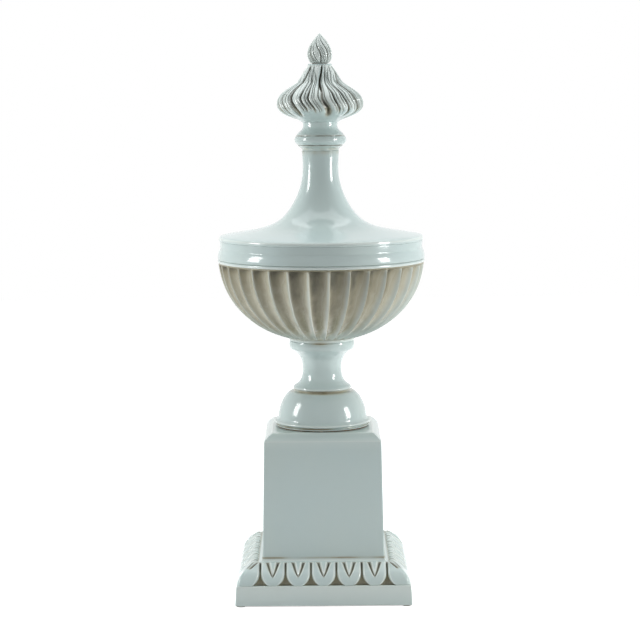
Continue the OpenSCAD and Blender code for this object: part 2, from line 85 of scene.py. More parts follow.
# Outlines. A row of an outline is a half width, a height and a corner radius.
# On a turned piece the corner radius is the half width, so that the row is a circle.
def bezier(a, b, c, d, count):
    """Points on a curve with four control points, as rows of radius and height."""
    t = np.linspace(0, 1, count + 1)[:, None]
    a, b, c, d = (np.array(p, float) for p in (a, b, c, d))
    return (1 - t) ** 3 * a + 3 * t * (1 - t) ** 2 * b + 3 * t * t * (1 - t) * c + t ** 3 * d


def bulge(r, low, high, out, count=10):
    """A rounded bead on a straight edge, from its lower end to its upper, that stands out by out."""
    turn = np.linspace(0, math.pi, count + 1)
    return np.stack([r + out * np.sin(turn), low + (high - low) * (1 - np.cos(turn)) / 2], 1)


def rounded(points, radius, count=4):
    """A run of points with each corner between its ends replaced by a small arc."""
    points = np.array(points, float)
    out = [points[0]]
    for before, corner, after in zip(points, points[1:], points[2:]):
        back, ahead = before - corner, after - corner
        cut = min(radius, np.linalg.norm(back) / 2.2, np.linalg.norm(ahead) / 2.2)
        start = corner + back / np.linalg.norm(back) * cut
        end = corner + ahead / np.linalg.norm(ahead) * cut
        for t in np.linspace(0, 1, count + 1):
            out.append((1 - t) ** 2 * start + 2 * t * (1 - t) * corner + t * t * end)
    out.append(points[-1])
    return np.array(out)


def refined(points, step):
    """The same run of points with longer stretches divided, so that no step is over step."""
    out = [points[0]]
    for a, b in zip(points, points[1:]):
        count = max(1, math.ceil(np.linalg.norm(b - a) / step))
        out += [a + (b - a) * k / count for k in range(1, count + 1)]
    return np.array(out)


def outward(points):
    """The direction that faces out of a run of points that goes up the outside."""
    along = np.gradient(points, axis=0)
    along /= np.linalg.norm(along, axis=1)[:, None] + 1e-9
    return np.stack([along[:, 1], -along[:, 0]], 1)


# Meshes
def ease(value, low, high):
    """A smooth step from 0 at low to 1 at high."""
    t = np.clip((value - low) / (high - low), 0, 1)
    return t * t * (3 - 2 * t)


def side_stations(count, crowd):
    """Places along one side from -1 to 1, crowded towards the corners."""
    w = np.linspace(-1, 1, count, endpoint=False)
    return w + crowd * np.sin(math.pi * w) / math.pi


def wrapped(degrees):
    """The same angle between -180 and 180 degrees."""
    return (degrees + 180) % 360 - 180


def degrees_round(stations):
    """The angle of each station of the four sides, in degrees from the middle of the front."""
    return np.concatenate([stations * 45 + quarter * 90 for quarter in range(4)])


def ring_plan(stations, half, corner):
    """Points and outward directions round squares with rounded corners, by half width and corner radius."""
    half = np.array(half, float)[:, None]
    corner = np.array(corner, float)[:, None]
    side = stations[None, :]
    flat = half - corner
    reach = np.clip((np.abs(side * half) - flat) / np.maximum(corner, 1e-6), 0, 1)
    turn = reach * math.pi / 4
    x = np.where(reach > 0, np.sign(side) * (flat + corner * np.sin(turn)), side * half)
    y = np.where(reach > 0, -(flat + corner * np.cos(turn)), -half)
    out_x, out_y = np.sign(side) * np.sin(turn), -np.cos(turn)
    plans = []
    for c, s in ((1, 0), (0, 1), (-1, 0), (0, -1)):
        plans.append((x * c - y * s, x * s + y * c, out_x * c - out_y * s, out_x * s + out_y * c))
    return [np.concatenate([plan[k] for plan in plans], 1) for k in range(4)]


def new_object(name, mesh):
    """Puts a mesh in the scene."""
    piece = bpy.data.objects.new(name, mesh)
    bpy.context.scene.collection.objects.link(piece)
    return piece


def add_layer(mesh, name, values, kind="FLOAT"):
    """Stores a value for each point of a mesh under a name."""
    layer = mesh.attributes.new(name, kind, "POINT")
    field = "vector" if kind == "FLOAT_VECTOR" else "value"
    layer.data.foreach_set(field, np.ravel(values).astype(np.float32))


def write_layer(mesh, name, values):
    """Changes the values that a mesh already holds under a name."""
    mesh.attributes[name].data.foreach_set("value", np.ravel(values).astype(np.float32))


def read_layer(mesh, name):
    """The values that a mesh holds under a name."""
    values = np.zeros(len(mesh.vertices), np.float32)
    mesh.attributes[name].data.foreach_get("value", values)
    return values


def shade_smooth(mesh, sharp=50):
    """Shades a mesh smooth, but keeps edges sharp that turn by more than an angle in degrees."""
    mesh.polygons.foreach_set("use_smooth", np.ones(len(mesh.polygons), bool))
    mesh.set_sharp_from_angle(angle=math.radians(sharp))


def lofted(name, rows, stations, raw_rows=(), wash=None, edge=None, smoke=None, shift=None):
    """A closed piece from the rows of its outline, each a square or round ring.

    raw_rows are the rows whose faces are bare clay. wash, edge and smoke give each point's wash, with painted
    shade in it on the bowl's flutes and in the foot's groove, its paler line, partly thin glaze and partly
    painted highlight, and how grey the wash is, and shift how far the point stands out of its row, in arrays
    of rows by points.
    """
    rows = np.array(rows, float)
    px, py, dx, dy = ring_plan(stations, rows[:, 0], rows[:, 2])
    out = outward(rows[:, :2])
    pz = np.repeat(rows[:, 1:2], px.shape[1], 1)
    if shift is not None:
        px, py = px + shift * out[:, :1] * dx, py + shift * out[:, :1] * dy
        pz = pz + shift * out[:, 1:]
    count, columns = px.shape
    points = np.stack([px, py, pz], 2).reshape(-1, 3) * mm
    i = np.arange(count)[:, None]
    j = np.arange(columns)[None, :]
    up, right = (i + 1) % count, (j + 1) % columns
    faces = np.stack([i * columns + j, i * columns + right, up * columns + right, up * columns + j], 2)
    mesh = bpy.data.meshes.new(name)
    mesh.from_pydata(points.tolist(), [], faces.reshape(-1, 4).tolist())
    for layer, values in (("wash", wash), ("edge", edge), ("smoke", smoke)):
        add_layer(mesh, layer, np.broadcast_to(0.0 if values is None else values, (count, columns)))
    raw = np.zeros((count, columns), np.int32)
    raw[list(raw_rows)] = 1
    mesh.polygons.foreach_set("material_index", raw.ravel())
    shade_smooth(mesh)
    return new_object(name, mesh)


def pooled(rows, places):
    """How much lies at each row of an outline, from places of radius, height, spread and amount."""
    rows = np.array(rows, float)
    amount = np.zeros(len(rows))
    for r, z, spread, most in places:
        distance = np.hypot(rows[:, 0] - r, rows[:, 1] - z)
        amount = np.maximum(amount, most * np.exp(-(distance / spread) ** 2))
    return amount[:, None]


def uneven(stations, seed, least=0.25):
    """How much of a wiped wash stays in a joint all round, from least to 1, in patches that come and go."""
    rng = np.random.default_rng(seed)
    turn = np.radians(degrees_round(stations))
    level = sum(np.sin(k * turn + 2 * math.pi * rng.random()) for k in (2, 3, 5, 8, 13)) / 3
    return least + (1 - least) * np.clip(0.5 + 0.6 * level, 0, 1)[None, :]


def wash_and_shade_patch(stations, middle, spread):
    """How strongly a patch lies round a piece, by its middle and spread in degrees from the front; used both
    for patches of wash and for painted shade that is heavier towards the front.
    """
    off = wrapped(degrees_round(stations) - middle)
    return np.exp(-(off / spread) ** 2)[None, :]


def as_rows(points, corner=None):
    """Rows of an outline from points: round, or square with a corner radius."""
    points = np.array(points, float)
    last = points[:, 0] if corner is None else np.full(len(points), float(corner))
    return np.column_stack([points, last])


round_stations = side_stations(40, 0)
fine_round_stations = side_stations(144, 0)


# Nodes
def add(tree, kind, links=None, **settings):
    """Adds a node with its settings, and links or sets its inputs by name or number."""
    node = tree.nodes.new(kind)
    for name, value in settings.items():
        setattr(node, name, value)
    for key, value in (links or {}).items():
        if isinstance(value, bpy.types.NodeSocket):
            tree.links.new(value, node.inputs[key])
        else:
            node.inputs[key].default_value = value
    return node


def srgb(code):
    """A linear colour from a hex code."""
    parts = [int(code[k:k + 2], 16) / 255 for k in (1, 3, 5)]
    return [*(c / 12.92 if c <= 0.04045 else ((c + 0.055) / 1.055) ** 2.4 for c in parts), 1]


def new_material(name):
    """An empty material with its shader and the surface's own place, in metres."""
    material = bpy.data.materials.new(name)
    material.use_nodes = True
    tree = material.node_tree
    tree.nodes.clear()
    shader = add(tree, "ShaderNodeBsdfPrincipled")
    add(tree, "ShaderNodeOutputMaterial", {"Surface": shader.outputs[0]})
    place = add(tree, "ShaderNodeTexCoord").outputs["Object"]
    return material, tree, shader, place


def set_stops(ramp, *stops):
    """Gives a colour ramp its stops in rising order, each a place, a hex code and how much it covers."""
    elements = ramp.color_ramp.elements
    elements[0].position = stops[0][0]
    elements[1].position = stops[-1][0]
    for position, _, _ in stops[1:-1]:
        elements.new(position)
    for element, (_, code, cover) in zip(elements, stops):
        element.color = (*srgb(code)[:3], cover)
    return ramp


# A Mix node's two colours are its inputs 6 and 7, and its result is its output 2
colour_a, colour_b, blend = 6, 7, 2


def glazed_stoneware():
    """Slip-cast stoneware under a poured celadon glaze, with a wash rubbed into its low places and wiped off.

    It gives pale blue-green with a wet gloss that wavers a little, olive-brown in the broad hollows, dark
    grey in the narrow cuts, and a paler line over edges and crests, partly where the glaze ran thin and
    partly a painted highlight. On the bowl's flutes and in the foot's groove the wash also carries painted
    shade.
    """
    material, tree, shader, place = new_material("glazed_stoneware")
    wash, edge, smoke = (add(tree, "ShaderNodeAttribute", attribute_name=name).outputs["Fac"]
                         for name in ("wash", "edge", "smoke"))
    # Clouds about 110 mm wide where the glaze lies thicker
    cloud = add(tree, "ShaderNodeTexNoise", {"Vector": place, "Scale": 9.0, "Detail": 3.0}).outputs["Fac"]
    glaze = add(tree, "ShaderNodeMix", {"Factor": cloud, colour_a: srgb("#B9CCCD"),
                                        colour_b: srgb("#C3D0CB")}, data_type="RGBA").outputs[blend]
    # The wash was wiped downwards: streaks about 8 mm wide and 50 mm long, and blotches of 20 mm
    streak_place = add(tree, "ShaderNodeMapping", {"Vector": place, "Scale": (1.0, 1.0, 0.16)}).outputs[0]
    streak = add(tree, "ShaderNodeTexNoise", {"Vector": streak_place, "Scale": 130.0, "Detail": 4.0})
    blotch = add(tree, "ShaderNodeTexNoise", {"Vector": place, "Scale": 45.0, "Detail": 3.0})
    patch = add(tree, "ShaderNodeMath", {0: blotch.outputs["Fac"], 1: streak.outputs["Fac"]},
                operation="MULTIPLY").outputs[0]
    patch = add(tree, "ShaderNodeMapRange", {"Value": patch, "From Min": 0.12, "From Max": 0.42,
                                             "To Min": 0.86, "To Max": 1.12}).outputs[0]
    lying = add(tree, "ShaderNodeMath", {0: wash, 1: patch}, operation="MULTIPLY", use_clamp=True).outputs[0]
    # From a thin film of the wash to a full pool: olive in the broad hollows, grey in the cuts
    olive = set_stops(add(tree, "ShaderNodeValToRGB", {"Fac": lying}), (0.0, "#B0AD99", 0.0),
                      (0.42, "#A59F87", 0.90), (0.72, "#7C765E", 1.0), (1.0, "#45432F", 1.0))
    grey = set_stops(add(tree, "ShaderNodeValToRGB", {"Fac": lying}), (0.0, "#ABADA3", 0.0),
                     (0.40, "#85867B", 0.85), (0.75, "#56564C", 1.0), (1.0, "#302F29", 1.0))
    stain = add(tree, "ShaderNodeMix", {"Factor": smoke, colour_a: olive.outputs["Color"],
                                        colour_b: grey.outputs["Color"]}, data_type="RGBA").outputs[blend]
    washed = add(tree, "ShaderNodeMix", {"Factor": olive.outputs["Alpha"], colour_a: glaze, colour_b: stain},
                 data_type="RGBA").outputs[blend]
    # The paler line: partly thin glaze, partly a painted highlight on the flame's crests and beside the leaf
    # cuts
    thin_glaze_and_highlight = add(tree, "ShaderNodeMath", {0: edge, 1: 0.75}, operation="MULTIPLY", use_clamp=True).outputs[0]
    colour = add(tree, "ShaderNodeMix", {"Factor": thin_glaze_and_highlight, colour_a: washed, colour_b: srgb("#E4E9E3")},
                 data_type="RGBA").outputs[blend]
    tree.links.new(colour, shader.inputs["Base Color"])
    # The wash is duller than the glaze
    rough = add(tree, "ShaderNodeMapRange", {"Value": lying, "To Min": 0.13, "To Max": 0.40}).outputs[0]
    tree.links.new(rough, shader.inputs["Roughness"])
    # A slow swell 25 mm across from the poured glaze, and fine orange peel of 1.5 mm
    wave = add(tree, "ShaderNodeTexNoise", {"Vector": place, "Scale": 38.0, "Detail": 1.0}).outputs["Fac"]
    swell = add(tree, "ShaderNodeBump", {"Strength": 0.05, "Distance": 0.0005, "Height": wave}).outputs[0]
    pits = add(tree, "ShaderNodeTexNoise", {"Vector": place, "Scale": 620.0, "Detail": 2.0}).outputs["Fac"]
    peel = add(tree, "ShaderNodeBump", {"Strength": 0.10, "Distance": 0.00010, "Height": pits,
                                        "Normal": swell}).outputs[0]
    tree.links.new(peel, shader.inputs["Normal"])
    shader.inputs["IOR"].default_value = 1.52
    return material


def bare_clay():
    """The unglazed inside of a slip-cast piece: fired clay wiped with a sponge, chalky buff with specks."""
    material, tree, shader, place = new_material("bare_clay")
    speck = add(tree, "ShaderNodeTexNoise", {"Vector": place, "Scale": 700.0, "Detail": 4.0}).outputs["Fac"]
    cloud = add(tree, "ShaderNodeTexNoise", {"Vector": place, "Scale": 26.0, "Detail": 4.0}).outputs["Fac"]
    tone = add(tree, "ShaderNodeMath", {0: speck, 1: cloud}, operation="MULTIPLY").outputs[0]
    ramp = set_stops(add(tree, "ShaderNodeValToRGB", {"Fac": tone}),
                     (0.12, "#B49E80", 1), (0.38, "#D9CDB8", 1))
    tree.links.new(ramp.outputs["Color"], shader.inputs["Base Color"])
    bump = add(tree, "ShaderNodeBump", {"Strength": 0.4, "Distance": 0.0003, "Height": speck}).outputs[0]
    tree.links.new(bump, shader.inputs["Normal"])
    shader.inputs["Roughness"].default_value = 0.85
    return material


def pressed_cork():
    """Agglomerated cork: granules of 1 to 3 mm pressed in a block and cut, warm brown with dark seams."""
    material, tree, shader, place = new_material("pressed_cork")
    grain = add(tree, "ShaderNodeTexVoronoi", {"Vector": place, "Scale": 480.0}).outputs
    tone = add(tree, "ShaderNodeSeparateColor", {0: grain["Color"]}).outputs[0]
    ramp = set_stops(add(tree, "ShaderNodeValToRGB", {"Fac": tone}), (0.0, "#6B4D33", 1), (1.0, "#A98660", 1))
    seam = add(tree, "ShaderNodeMapRange", {"Value": grain["Distance"], "From Min": 0.25, "From Max": 0.6,
                                            "To Max": 0.7}).outputs[0]
    colour = add(tree, "ShaderNodeMix", {"Factor": seam, colour_a: ramp.outputs["Color"],
                                         colour_b: srgb("#3B291B")}, data_type="RGBA").outputs[blend]
    tree.links.new(colour, shader.inputs["Base Color"])
    bump = add(tree, "ShaderNodeBump", {"Strength": 0.5, "Distance": 0.0004, "Height": grain["Distance"]},
               invert=True).outputs[0]
    tree.links.new(bump, shader.inputs["Normal"])
    shader.inputs["Roughness"].default_value = 0.8
    return material


def wool_felt():
    """Pressed wool felt: short tangled fibres, matt pale grey with a soft nap."""
    material, tree, shader, place = new_material("wool_felt")
    fibre = add(tree, "ShaderNodeTexNoise", {"Vector": place, "Scale": 1400.0, "Detail": 5.0,
                                             "Distortion": 1.6}).outputs["Fac"]
    ramp = set_stops(add(tree, "ShaderNodeValToRGB", {"Fac": fibre}),
                     (0.32, "#8E8F86", 1), (0.68, "#B9B9AE", 1))
    tree.links.new(ramp.outputs["Color"], shader.inputs["Base Color"])
    bump = add(tree, "ShaderNodeBump", {"Strength": 0.7, "Distance": 0.0003, "Height": fibre}).outputs[0]
    tree.links.new(bump, shader.inputs["Normal"])
    shader.inputs["Roughness"].default_value = 0.95
    shader.inputs["Sheen Weight"].default_value = 0.35
    return material


def worked_metal(name, light, dark, rough_low, rough_high, grain):
    """Metal with fine tool or plating marks: its tone and gloss vary over a few millimetres."""
    material, tree, shader, place = new_material(name)
    stretched = add(tree, "ShaderNodeMapping", {"Vector": place, "Scale": (1.0, 1.0, 6.0)}).outputs[0]
    mark = add(tree, "ShaderNodeTexNoise", {"Vector": stretched, "Scale": grain,
                                            "Detail": 4.0}).outputs["Fac"]
    stain = add(tree, "ShaderNodeTexNoise", {"Vector": place, "Scale": 150.0, "Detail": 3.0}).outputs["Fac"]
    colour = add(tree, "ShaderNodeMix", {"Factor": stain, colour_a: srgb(light), colour_b: srgb(dark)},
                 data_type="RGBA").outputs[blend]
    tree.links.new(colour, shader.inputs["Base Color"])
    rough = add(tree, "ShaderNodeMapRange", {"Value": mark, "From Min": 0.3, "From Max": 0.7,
                                             "To Min": rough_low, "To Max": rough_high}).outputs[0]
    tree.links.new(rough, shader.inputs["Roughness"])
    bump = add(tree, "ShaderNodeBump", {"Strength": 0.2, "Distance": 0.00005, "Height": mark}).outputs[0]
    tree.links.new(bump, shader.inputs["Normal"])
    shader.inputs["Metallic"].default_value = 1.0
    return material


def moulded_rubber():
    """Moulded nitrile rubber: near black and matt, with a fine sand grain from the mould."""
    material, tree, shader, place = new_material("moulded_rubber")
    grain = add(tree, "ShaderNodeTexNoise", {"Vector": place, "Scale": 1800.0, "Detail": 2.0}).outputs["Fac"]
    colour = add(tree, "ShaderNodeMix", {"Factor": grain, colour_a: srgb("#1C1C1B"),
                                         colour_b: srgb("#343331")}, data_type="RGBA").outputs[blend]
    tree.links.new(colour, shader.inputs["Base Color"])
    bump = add(tree, "ShaderNodeBump", {"Strength": 0.5, "Distance": 0.0001, "Height": grain}).outputs[0]
    tree.links.new(bump, shader.inputs["Normal"])
    shader.inputs["Roughness"].default_value = 0.72
    return material


glaze = glazed_stoneware()
clay = bare_clay()
cork = pressed_cork()
felt = wool_felt()
# Zinc-plated steel: blue-white with a soft satin gloss
zinc = worked_metal("zinc_plated_steel", "#C4C8CB", "#9CA1A5", rough_low=0.26, rough_high=0.42, grain=900.0)
# Turned brass, a little dulled: warm yellow with fine turning marks
brass = worked_metal("turned_brass", "#D6B36A", "#A98445", rough_low=0.22, rough_high=0.38, grain=1100.0)
rubber = moulded_rubber()


def settle(piece, body, slot, *nodes, materials=()):
    """Gives a piece its materials, if it has none yet, puts it under its body and hides the node that it
    stands for. slot is not used.
    """
    for material in materials:
        piece.data.materials.append(material)
    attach(piece, body)
    if nodes:
        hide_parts(*nodes)


def baked(piece):
    """The piece with its modifiers turned into a plain mesh."""
    graph = bpy.context.evaluated_depsgraph_get()
    mesh = bpy.data.meshes.new_from_object(piece.evaluated_get(graph))
    piece.modifiers.clear()
    old = piece.data
    piece.data = mesh
    bpy.data.meshes.remove(old)
    mesh.name = piece.name
    shade_smooth(mesh)
    return piece


def set_input(modifier, name, value):
    """Sets a named input of a modifier's tree through its identifier."""
    for item in modifier.node_group.interface.items_tree:
        if item.item_type == "SOCKET" and item.in_out == "INPUT" and item.name == name:
            modifier[item.identifier] = value
            return
    raise KeyError(name)


def new_tree(name, inputs):
    """A tree of geometry nodes with named inputs, and its group input. finish_tree closes it."""
    tree = bpy.data.node_groups.new(name, "GeometryNodeTree")
    tree.interface.new_socket("Geometry", in_out="INPUT", socket_type="NodeSocketGeometry")
    for label, kind in inputs.items():
        tree.interface.new_socket(label, in_out="INPUT", socket_type=kind)
    tree.interface.new_socket("Geometry", in_out="OUTPUT", socket_type="NodeSocketGeometry")
    return tree, add(tree, "NodeGroupInput")


def finish_tree(tree, geometry, finish):
    """Ends a tree: real geometry in the given finish."""
    real = add(tree, "GeometryNodeRealizeInstances", {"Geometry": geometry}).outputs[0]
    done = add(tree, "GeometryNodeSetMaterial", {"Geometry": real, "Material": finish}).outputs[0]
    add(tree, "NodeGroupOutput", {0: done})
    return tree


def around(tree):
    """The turn of a point round the axis, from -0.5 to 0.5, and its place in parts."""
    point = add(tree, "GeometryNodeInputPosition").outputs[0]
    place = add(tree, "ShaderNodeSeparateXYZ", {0: point}).outputs
    angle = add(tree, "ShaderNodeMath", {0: place[1], 1: place[0]}, operation="ARCTAN2").outputs[0]
    turns = add(tree, "ShaderNodeMath", {0: angle, 1: 2 * math.pi}, operation="DIVIDE").outputs[0]
    return turns, place


# Base: slab and leaf moulding, pressed as one
leaf_count = 5
leaf_relief = 5.3
leaf_low_z = slab_z + 28
leaf_top_z = base_top_z - 2.6
leaf_top_half = die_half + 7.4
recess_foot = base_half - 8
leaf_pitch = 35.8
leaf_half = leaf_pitch / 2 - 0.35
leaf_shoulder = 2.2


def leaf_edge(s):
    """Half the width of a leaf at its share s up the moulding, blunt below, between pointed arches."""
    opened = 1 - 0.54 * np.clip(1 - s / 0.64, 0, 1) ** 2.4
    closed = np.sqrt(1 - np.clip(1 - s / 0.06, 0, 1) ** 2)
    return leaf_half * opened * (0.5 + 0.5 * closed)


def leaf_tuck(s):
    """How a leaf sinks at its share s up the moulding: to half its height where it tucks under the fillet."""
    return 0.5 + 0.5 * np.clip((1 - s) / 0.08, 0, 1) ** 0.6


def leaf_wash(inside, s, cut, cut_wash):
    """The wash between two leaves, in the recess below them and in their cuts, and how grey it is.

    inside is the distance in from the leaf's edge. The gap between two leaves opens towards the top.
    """
    gap_width = 0.65 + 0.4 * np.clip((s - 0.6) / 0.4, 0, 1)
    gap = np.exp(-(np.clip(inside, 0, None) / gap_width) ** 2)
    recess = np.clip(1 - inside / 0.8, 0, 1) * np.clip((0.62 - s) / 0.1, 0, 1)
    wash = np.maximum(np.maximum(gap * (0.62 + 0.3 * s), recess * 0.62), cut * cut_wash)
    smoke = np.clip(np.maximum(0.7 * cut, (s - 0.6) / 0.4), 0, 0.8)
    return wash, smoke


def leaf_height(x, s):
    """One leaf over its recess, at x millimetres from its middle and at its share s up the moulding.

    Returns the height, the wash that lies there, a paler line that is partly thin glaze and partly painted
    highlight, and how grey the wash is.
    """
    inside = leaf_edge(s) - np.abs(x)
    rise = ease(inside, 0, leaf_shoulder)
    crown = 0.74 + 0.26 * (1 - (x / leaf_half) ** 2)
    # Two cuts that fall from the top edge, bend inwards and meet in a point
    cut_low = 0.38
    share = np.clip((s - cut_low) / (1 - cut_low), 0, 1)
    arm = leaf_half * 0.45 * share ** 0.75
    cut_width = 1.1 + 1.0 * share
    off = np.abs(np.abs(x) - arm) / cut_width
    reach = np.clip((s - cut_low + 0.08) / 0.12, 0, 1)
    cut = np.exp(-off ** 2) * reach
    cut_depth = 2.5 + 1.5 * share
    height = leaf_relief * rise * crown * leaf_tuck(s) - cut_depth * cut * rise
    wash, smoke = leaf_wash(inside, s, cut, 0.52 + 0.3 * share)
    # A paler line near the leaf's edge and beside its cuts: partly thin glaze, partly painted highlight
    thin_glaze_and_highlight = np.exp(-((inside - 2.4) / 0.9) ** 2) + np.exp(-((off - 1.8) / 0.5) ** 2) * reach
    return height, wash, thin_glaze_and_highlight, smoke


def corner_leaf_height(x, s, hip):
    """The same for the leaf that wraps a corner: x is the distance from the last gap, hip the corner's."""
    inside = x - leaf_half + leaf_edge(s)
    rise = ease(inside, 0, leaf_shoulder)
    # A short cut on each side of the hip, near the top
    cut_low = 0.66
    share = np.clip((s - cut_low) / (1 - cut_low), 0, 1)
    off = np.abs(hip - x - 1.6 - 1.2 * share) / 1.3
    cut = np.exp(-off ** 2) * np.clip((s - cut_low) / 0.08, 0, 1)
    crown = 0.92
    cut_depth = 2.2
    height = leaf_relief * rise * crown * leaf_tuck(s) - cut_depth * cut * rise
    wash, smoke = leaf_wash(inside, s, cut, 0.8)
    # A paler line near the leaf's edge and beside its cuts by the hip: partly thin glaze, partly painted
    # highlight
    thin_glaze_and_highlight = np.exp(-((inside - 2.6) / 0.8) ** 2) * 0.9 + np.exp(-((off - 1.9) / 0.45) ** 2) * 0.7 * share
    return height, wash, thin_glaze_and_highlight, smoke


def base_piece():
    """The slab with its leaf moulding and the fillet that runs up to the die, hollow underneath."""
    slab_top_half = base_half - 1.6
    inner_half = base_half - 16
    lip = rounded([(inner_half, slab_z), (base_half, slab_z), (slab_top_half, leaf_low_z),
                   (recess_foot, leaf_low_z)], 1.2)
    # The ledge stops a little short of the moulding
    lip[-1, 0] = recess_foot + 1.5
    moulding = bezier((recess_foot, leaf_low_z), (recess_foot + 1, leaf_low_z + 8),
                      (leaf_top_half + 14.5, leaf_top_z - 8.5), (leaf_top_half, leaf_top_z), 44)
    # The fillet rises to a thin rim that stands round the die's foot
    rim_half = die_half + 0.1
    rim_top_z = die_z + 1.4
    fillet = bezier((leaf_top_half - 1.0, leaf_top_z + 0.5), (die_half + 3.0, leaf_top_z + 1.2),
                    (die_half + 1.0, base_top_z), (rim_half + 0.5, rim_top_z - 0.3), 10)
    top = [(rim_half + 0.35, rim_top_z), (rim_half, rim_top_z - 0.2), (rim_half, base_top_z)]
    outer = as_rows(np.concatenate([lip, moulding, fillet, top]), 1.6)
    deck_z = base_top_z - deck
    hole = as_rows([(tie_hole, base_top_z), (tie_hole, deck_z)])
    inner = as_rows([(die_half - wall, deck_z), (inner_half, leaf_low_z - 6), (inner_half, slab_z + 1)], 4)
    rows = np.concatenate([outer, hole, inner])
    stations = side_stations(300, 0.35)
    # Relief of the leaves along one side, the same on all four
    s = np.linspace(0, 1, len(moulding))[:, None]
    x = stations[None, :] * moulding[:, :1]
    index = np.clip(np.round(x / leaf_pitch), -(leaf_count // 2), leaf_count // 2)
    row_end = leaf_count * leaf_pitch / 2
    leaf = leaf_height(x - index * leaf_pitch, s)
    corner_leaf = corner_leaf_height(np.abs(x) - row_end, s, moulding[:, :1] - row_end)
    at_corner = np.abs(x) > row_end
    height, wash, thin_glaze_and_highlight, smoke = (np.tile(np.where(at_corner, b, a), 4) for a, b in zip(leaf, corner_leaf))
    leaves = slice(len(lip), len(lip) + len(moulding))
    shape = (len(rows), 4 * len(stations))
    shift, greys = np.zeros(shape), np.zeros(shape)
    washes = pooled(rows, [(recess_foot + 1, leaf_low_z, 0.9, 0.45)]) * uneven(stations, 3)
    washes = np.maximum(washes, pooled(rows, [(die_half, rim_top_z, 0.9, 0.8)]) * uneven(stations, 4, 0.1))
    washes = np.maximum(washes, pooled(rows, [(leaf_top_half - 1, leaf_top_z + 0.5, 1.0, 0.3)]))
    edges = pooled(rows, [(slab_top_half, leaf_low_z - 0.5, 1.2, 0.8), (base_half, slab_z, 1.2, 0.5),
                          (die_half + 1.6, base_top_z + 0.4, 2.2, 0.6)])
    edges = np.repeat(edges, shape[1], 1)
    shift[leaves] = height
    washes[leaves] = np.maximum(wash, washes[leaves])
    edges[leaves] = thin_glaze_and_highlight
    greys[leaves] = smoke
    raw = [0, *range(len(outer) + 1, len(rows))]
    return lofted("base_body", rows, stations, raw, washes, edges, greys, shift)


settle(base_piece(), "urn", "glaze", "base_casting", materials=[glaze, clay])


def plinth_piece():
    """The square die: sides that lean in, a hollowed bevel round the top, open below."""
    bevel_rise = 10.5
    bevel_width = 11.5
    die_edge_z = die_top_z - bevel_rise
    top_half = die_half - 3.25
    flat_half = top_half - bevel_width
    lean = (die_half - top_half) / (die_edge_z - die_z)
    # Rows close above the foot, where the wash lies against the base's rim
    foot_rows = [(die_half - lean * rise, die_z + rise) for rise in (1.4, 2.0, 2.6, 3.4, 4.4, 6)]
    corners = [(die_half - wall, die_z), (die_half, die_z), *foot_rows, (top_half, die_edge_z),
               (top_half - 5, die_edge_z + 5.6), (flat_half, die_top_z), (tie_hole, die_top_z)]
    outer = as_rows(refined(rounded(corners, 1.3), 12)[:-1], 1.8)
    hole = as_rows([(tie_hole, die_top_z), (tie_hole, die_top_z - deck)])
    inner = as_rows([(flat_half - wall, die_top_z - deck), (top_half - wall, die_edge_z - deck),
                     (die_half - wall, die_z + 1)], 4)
    rows = np.concatenate([outer, hole, inner])
    stations = side_stations(64, 0.9)
    wash = pooled(rows, [(die_half, die_z + 1.6, 1.5, 0.75)]) * uneven(stations, 4, 0.05)
    edge = pooled(rows, [(top_half, die_edge_z, 1.4, 0.5), (flat_half, die_top_z, 1.2, 0.5)])
    raw = [0, *range(len(outer) + 1, len(rows))]
    return lofted("plinth_body", rows, stations, raw, wash, edge)


settle(plinth_piece(), "urn", "glaze", "plinth_casting", materials=[glaze, clay])


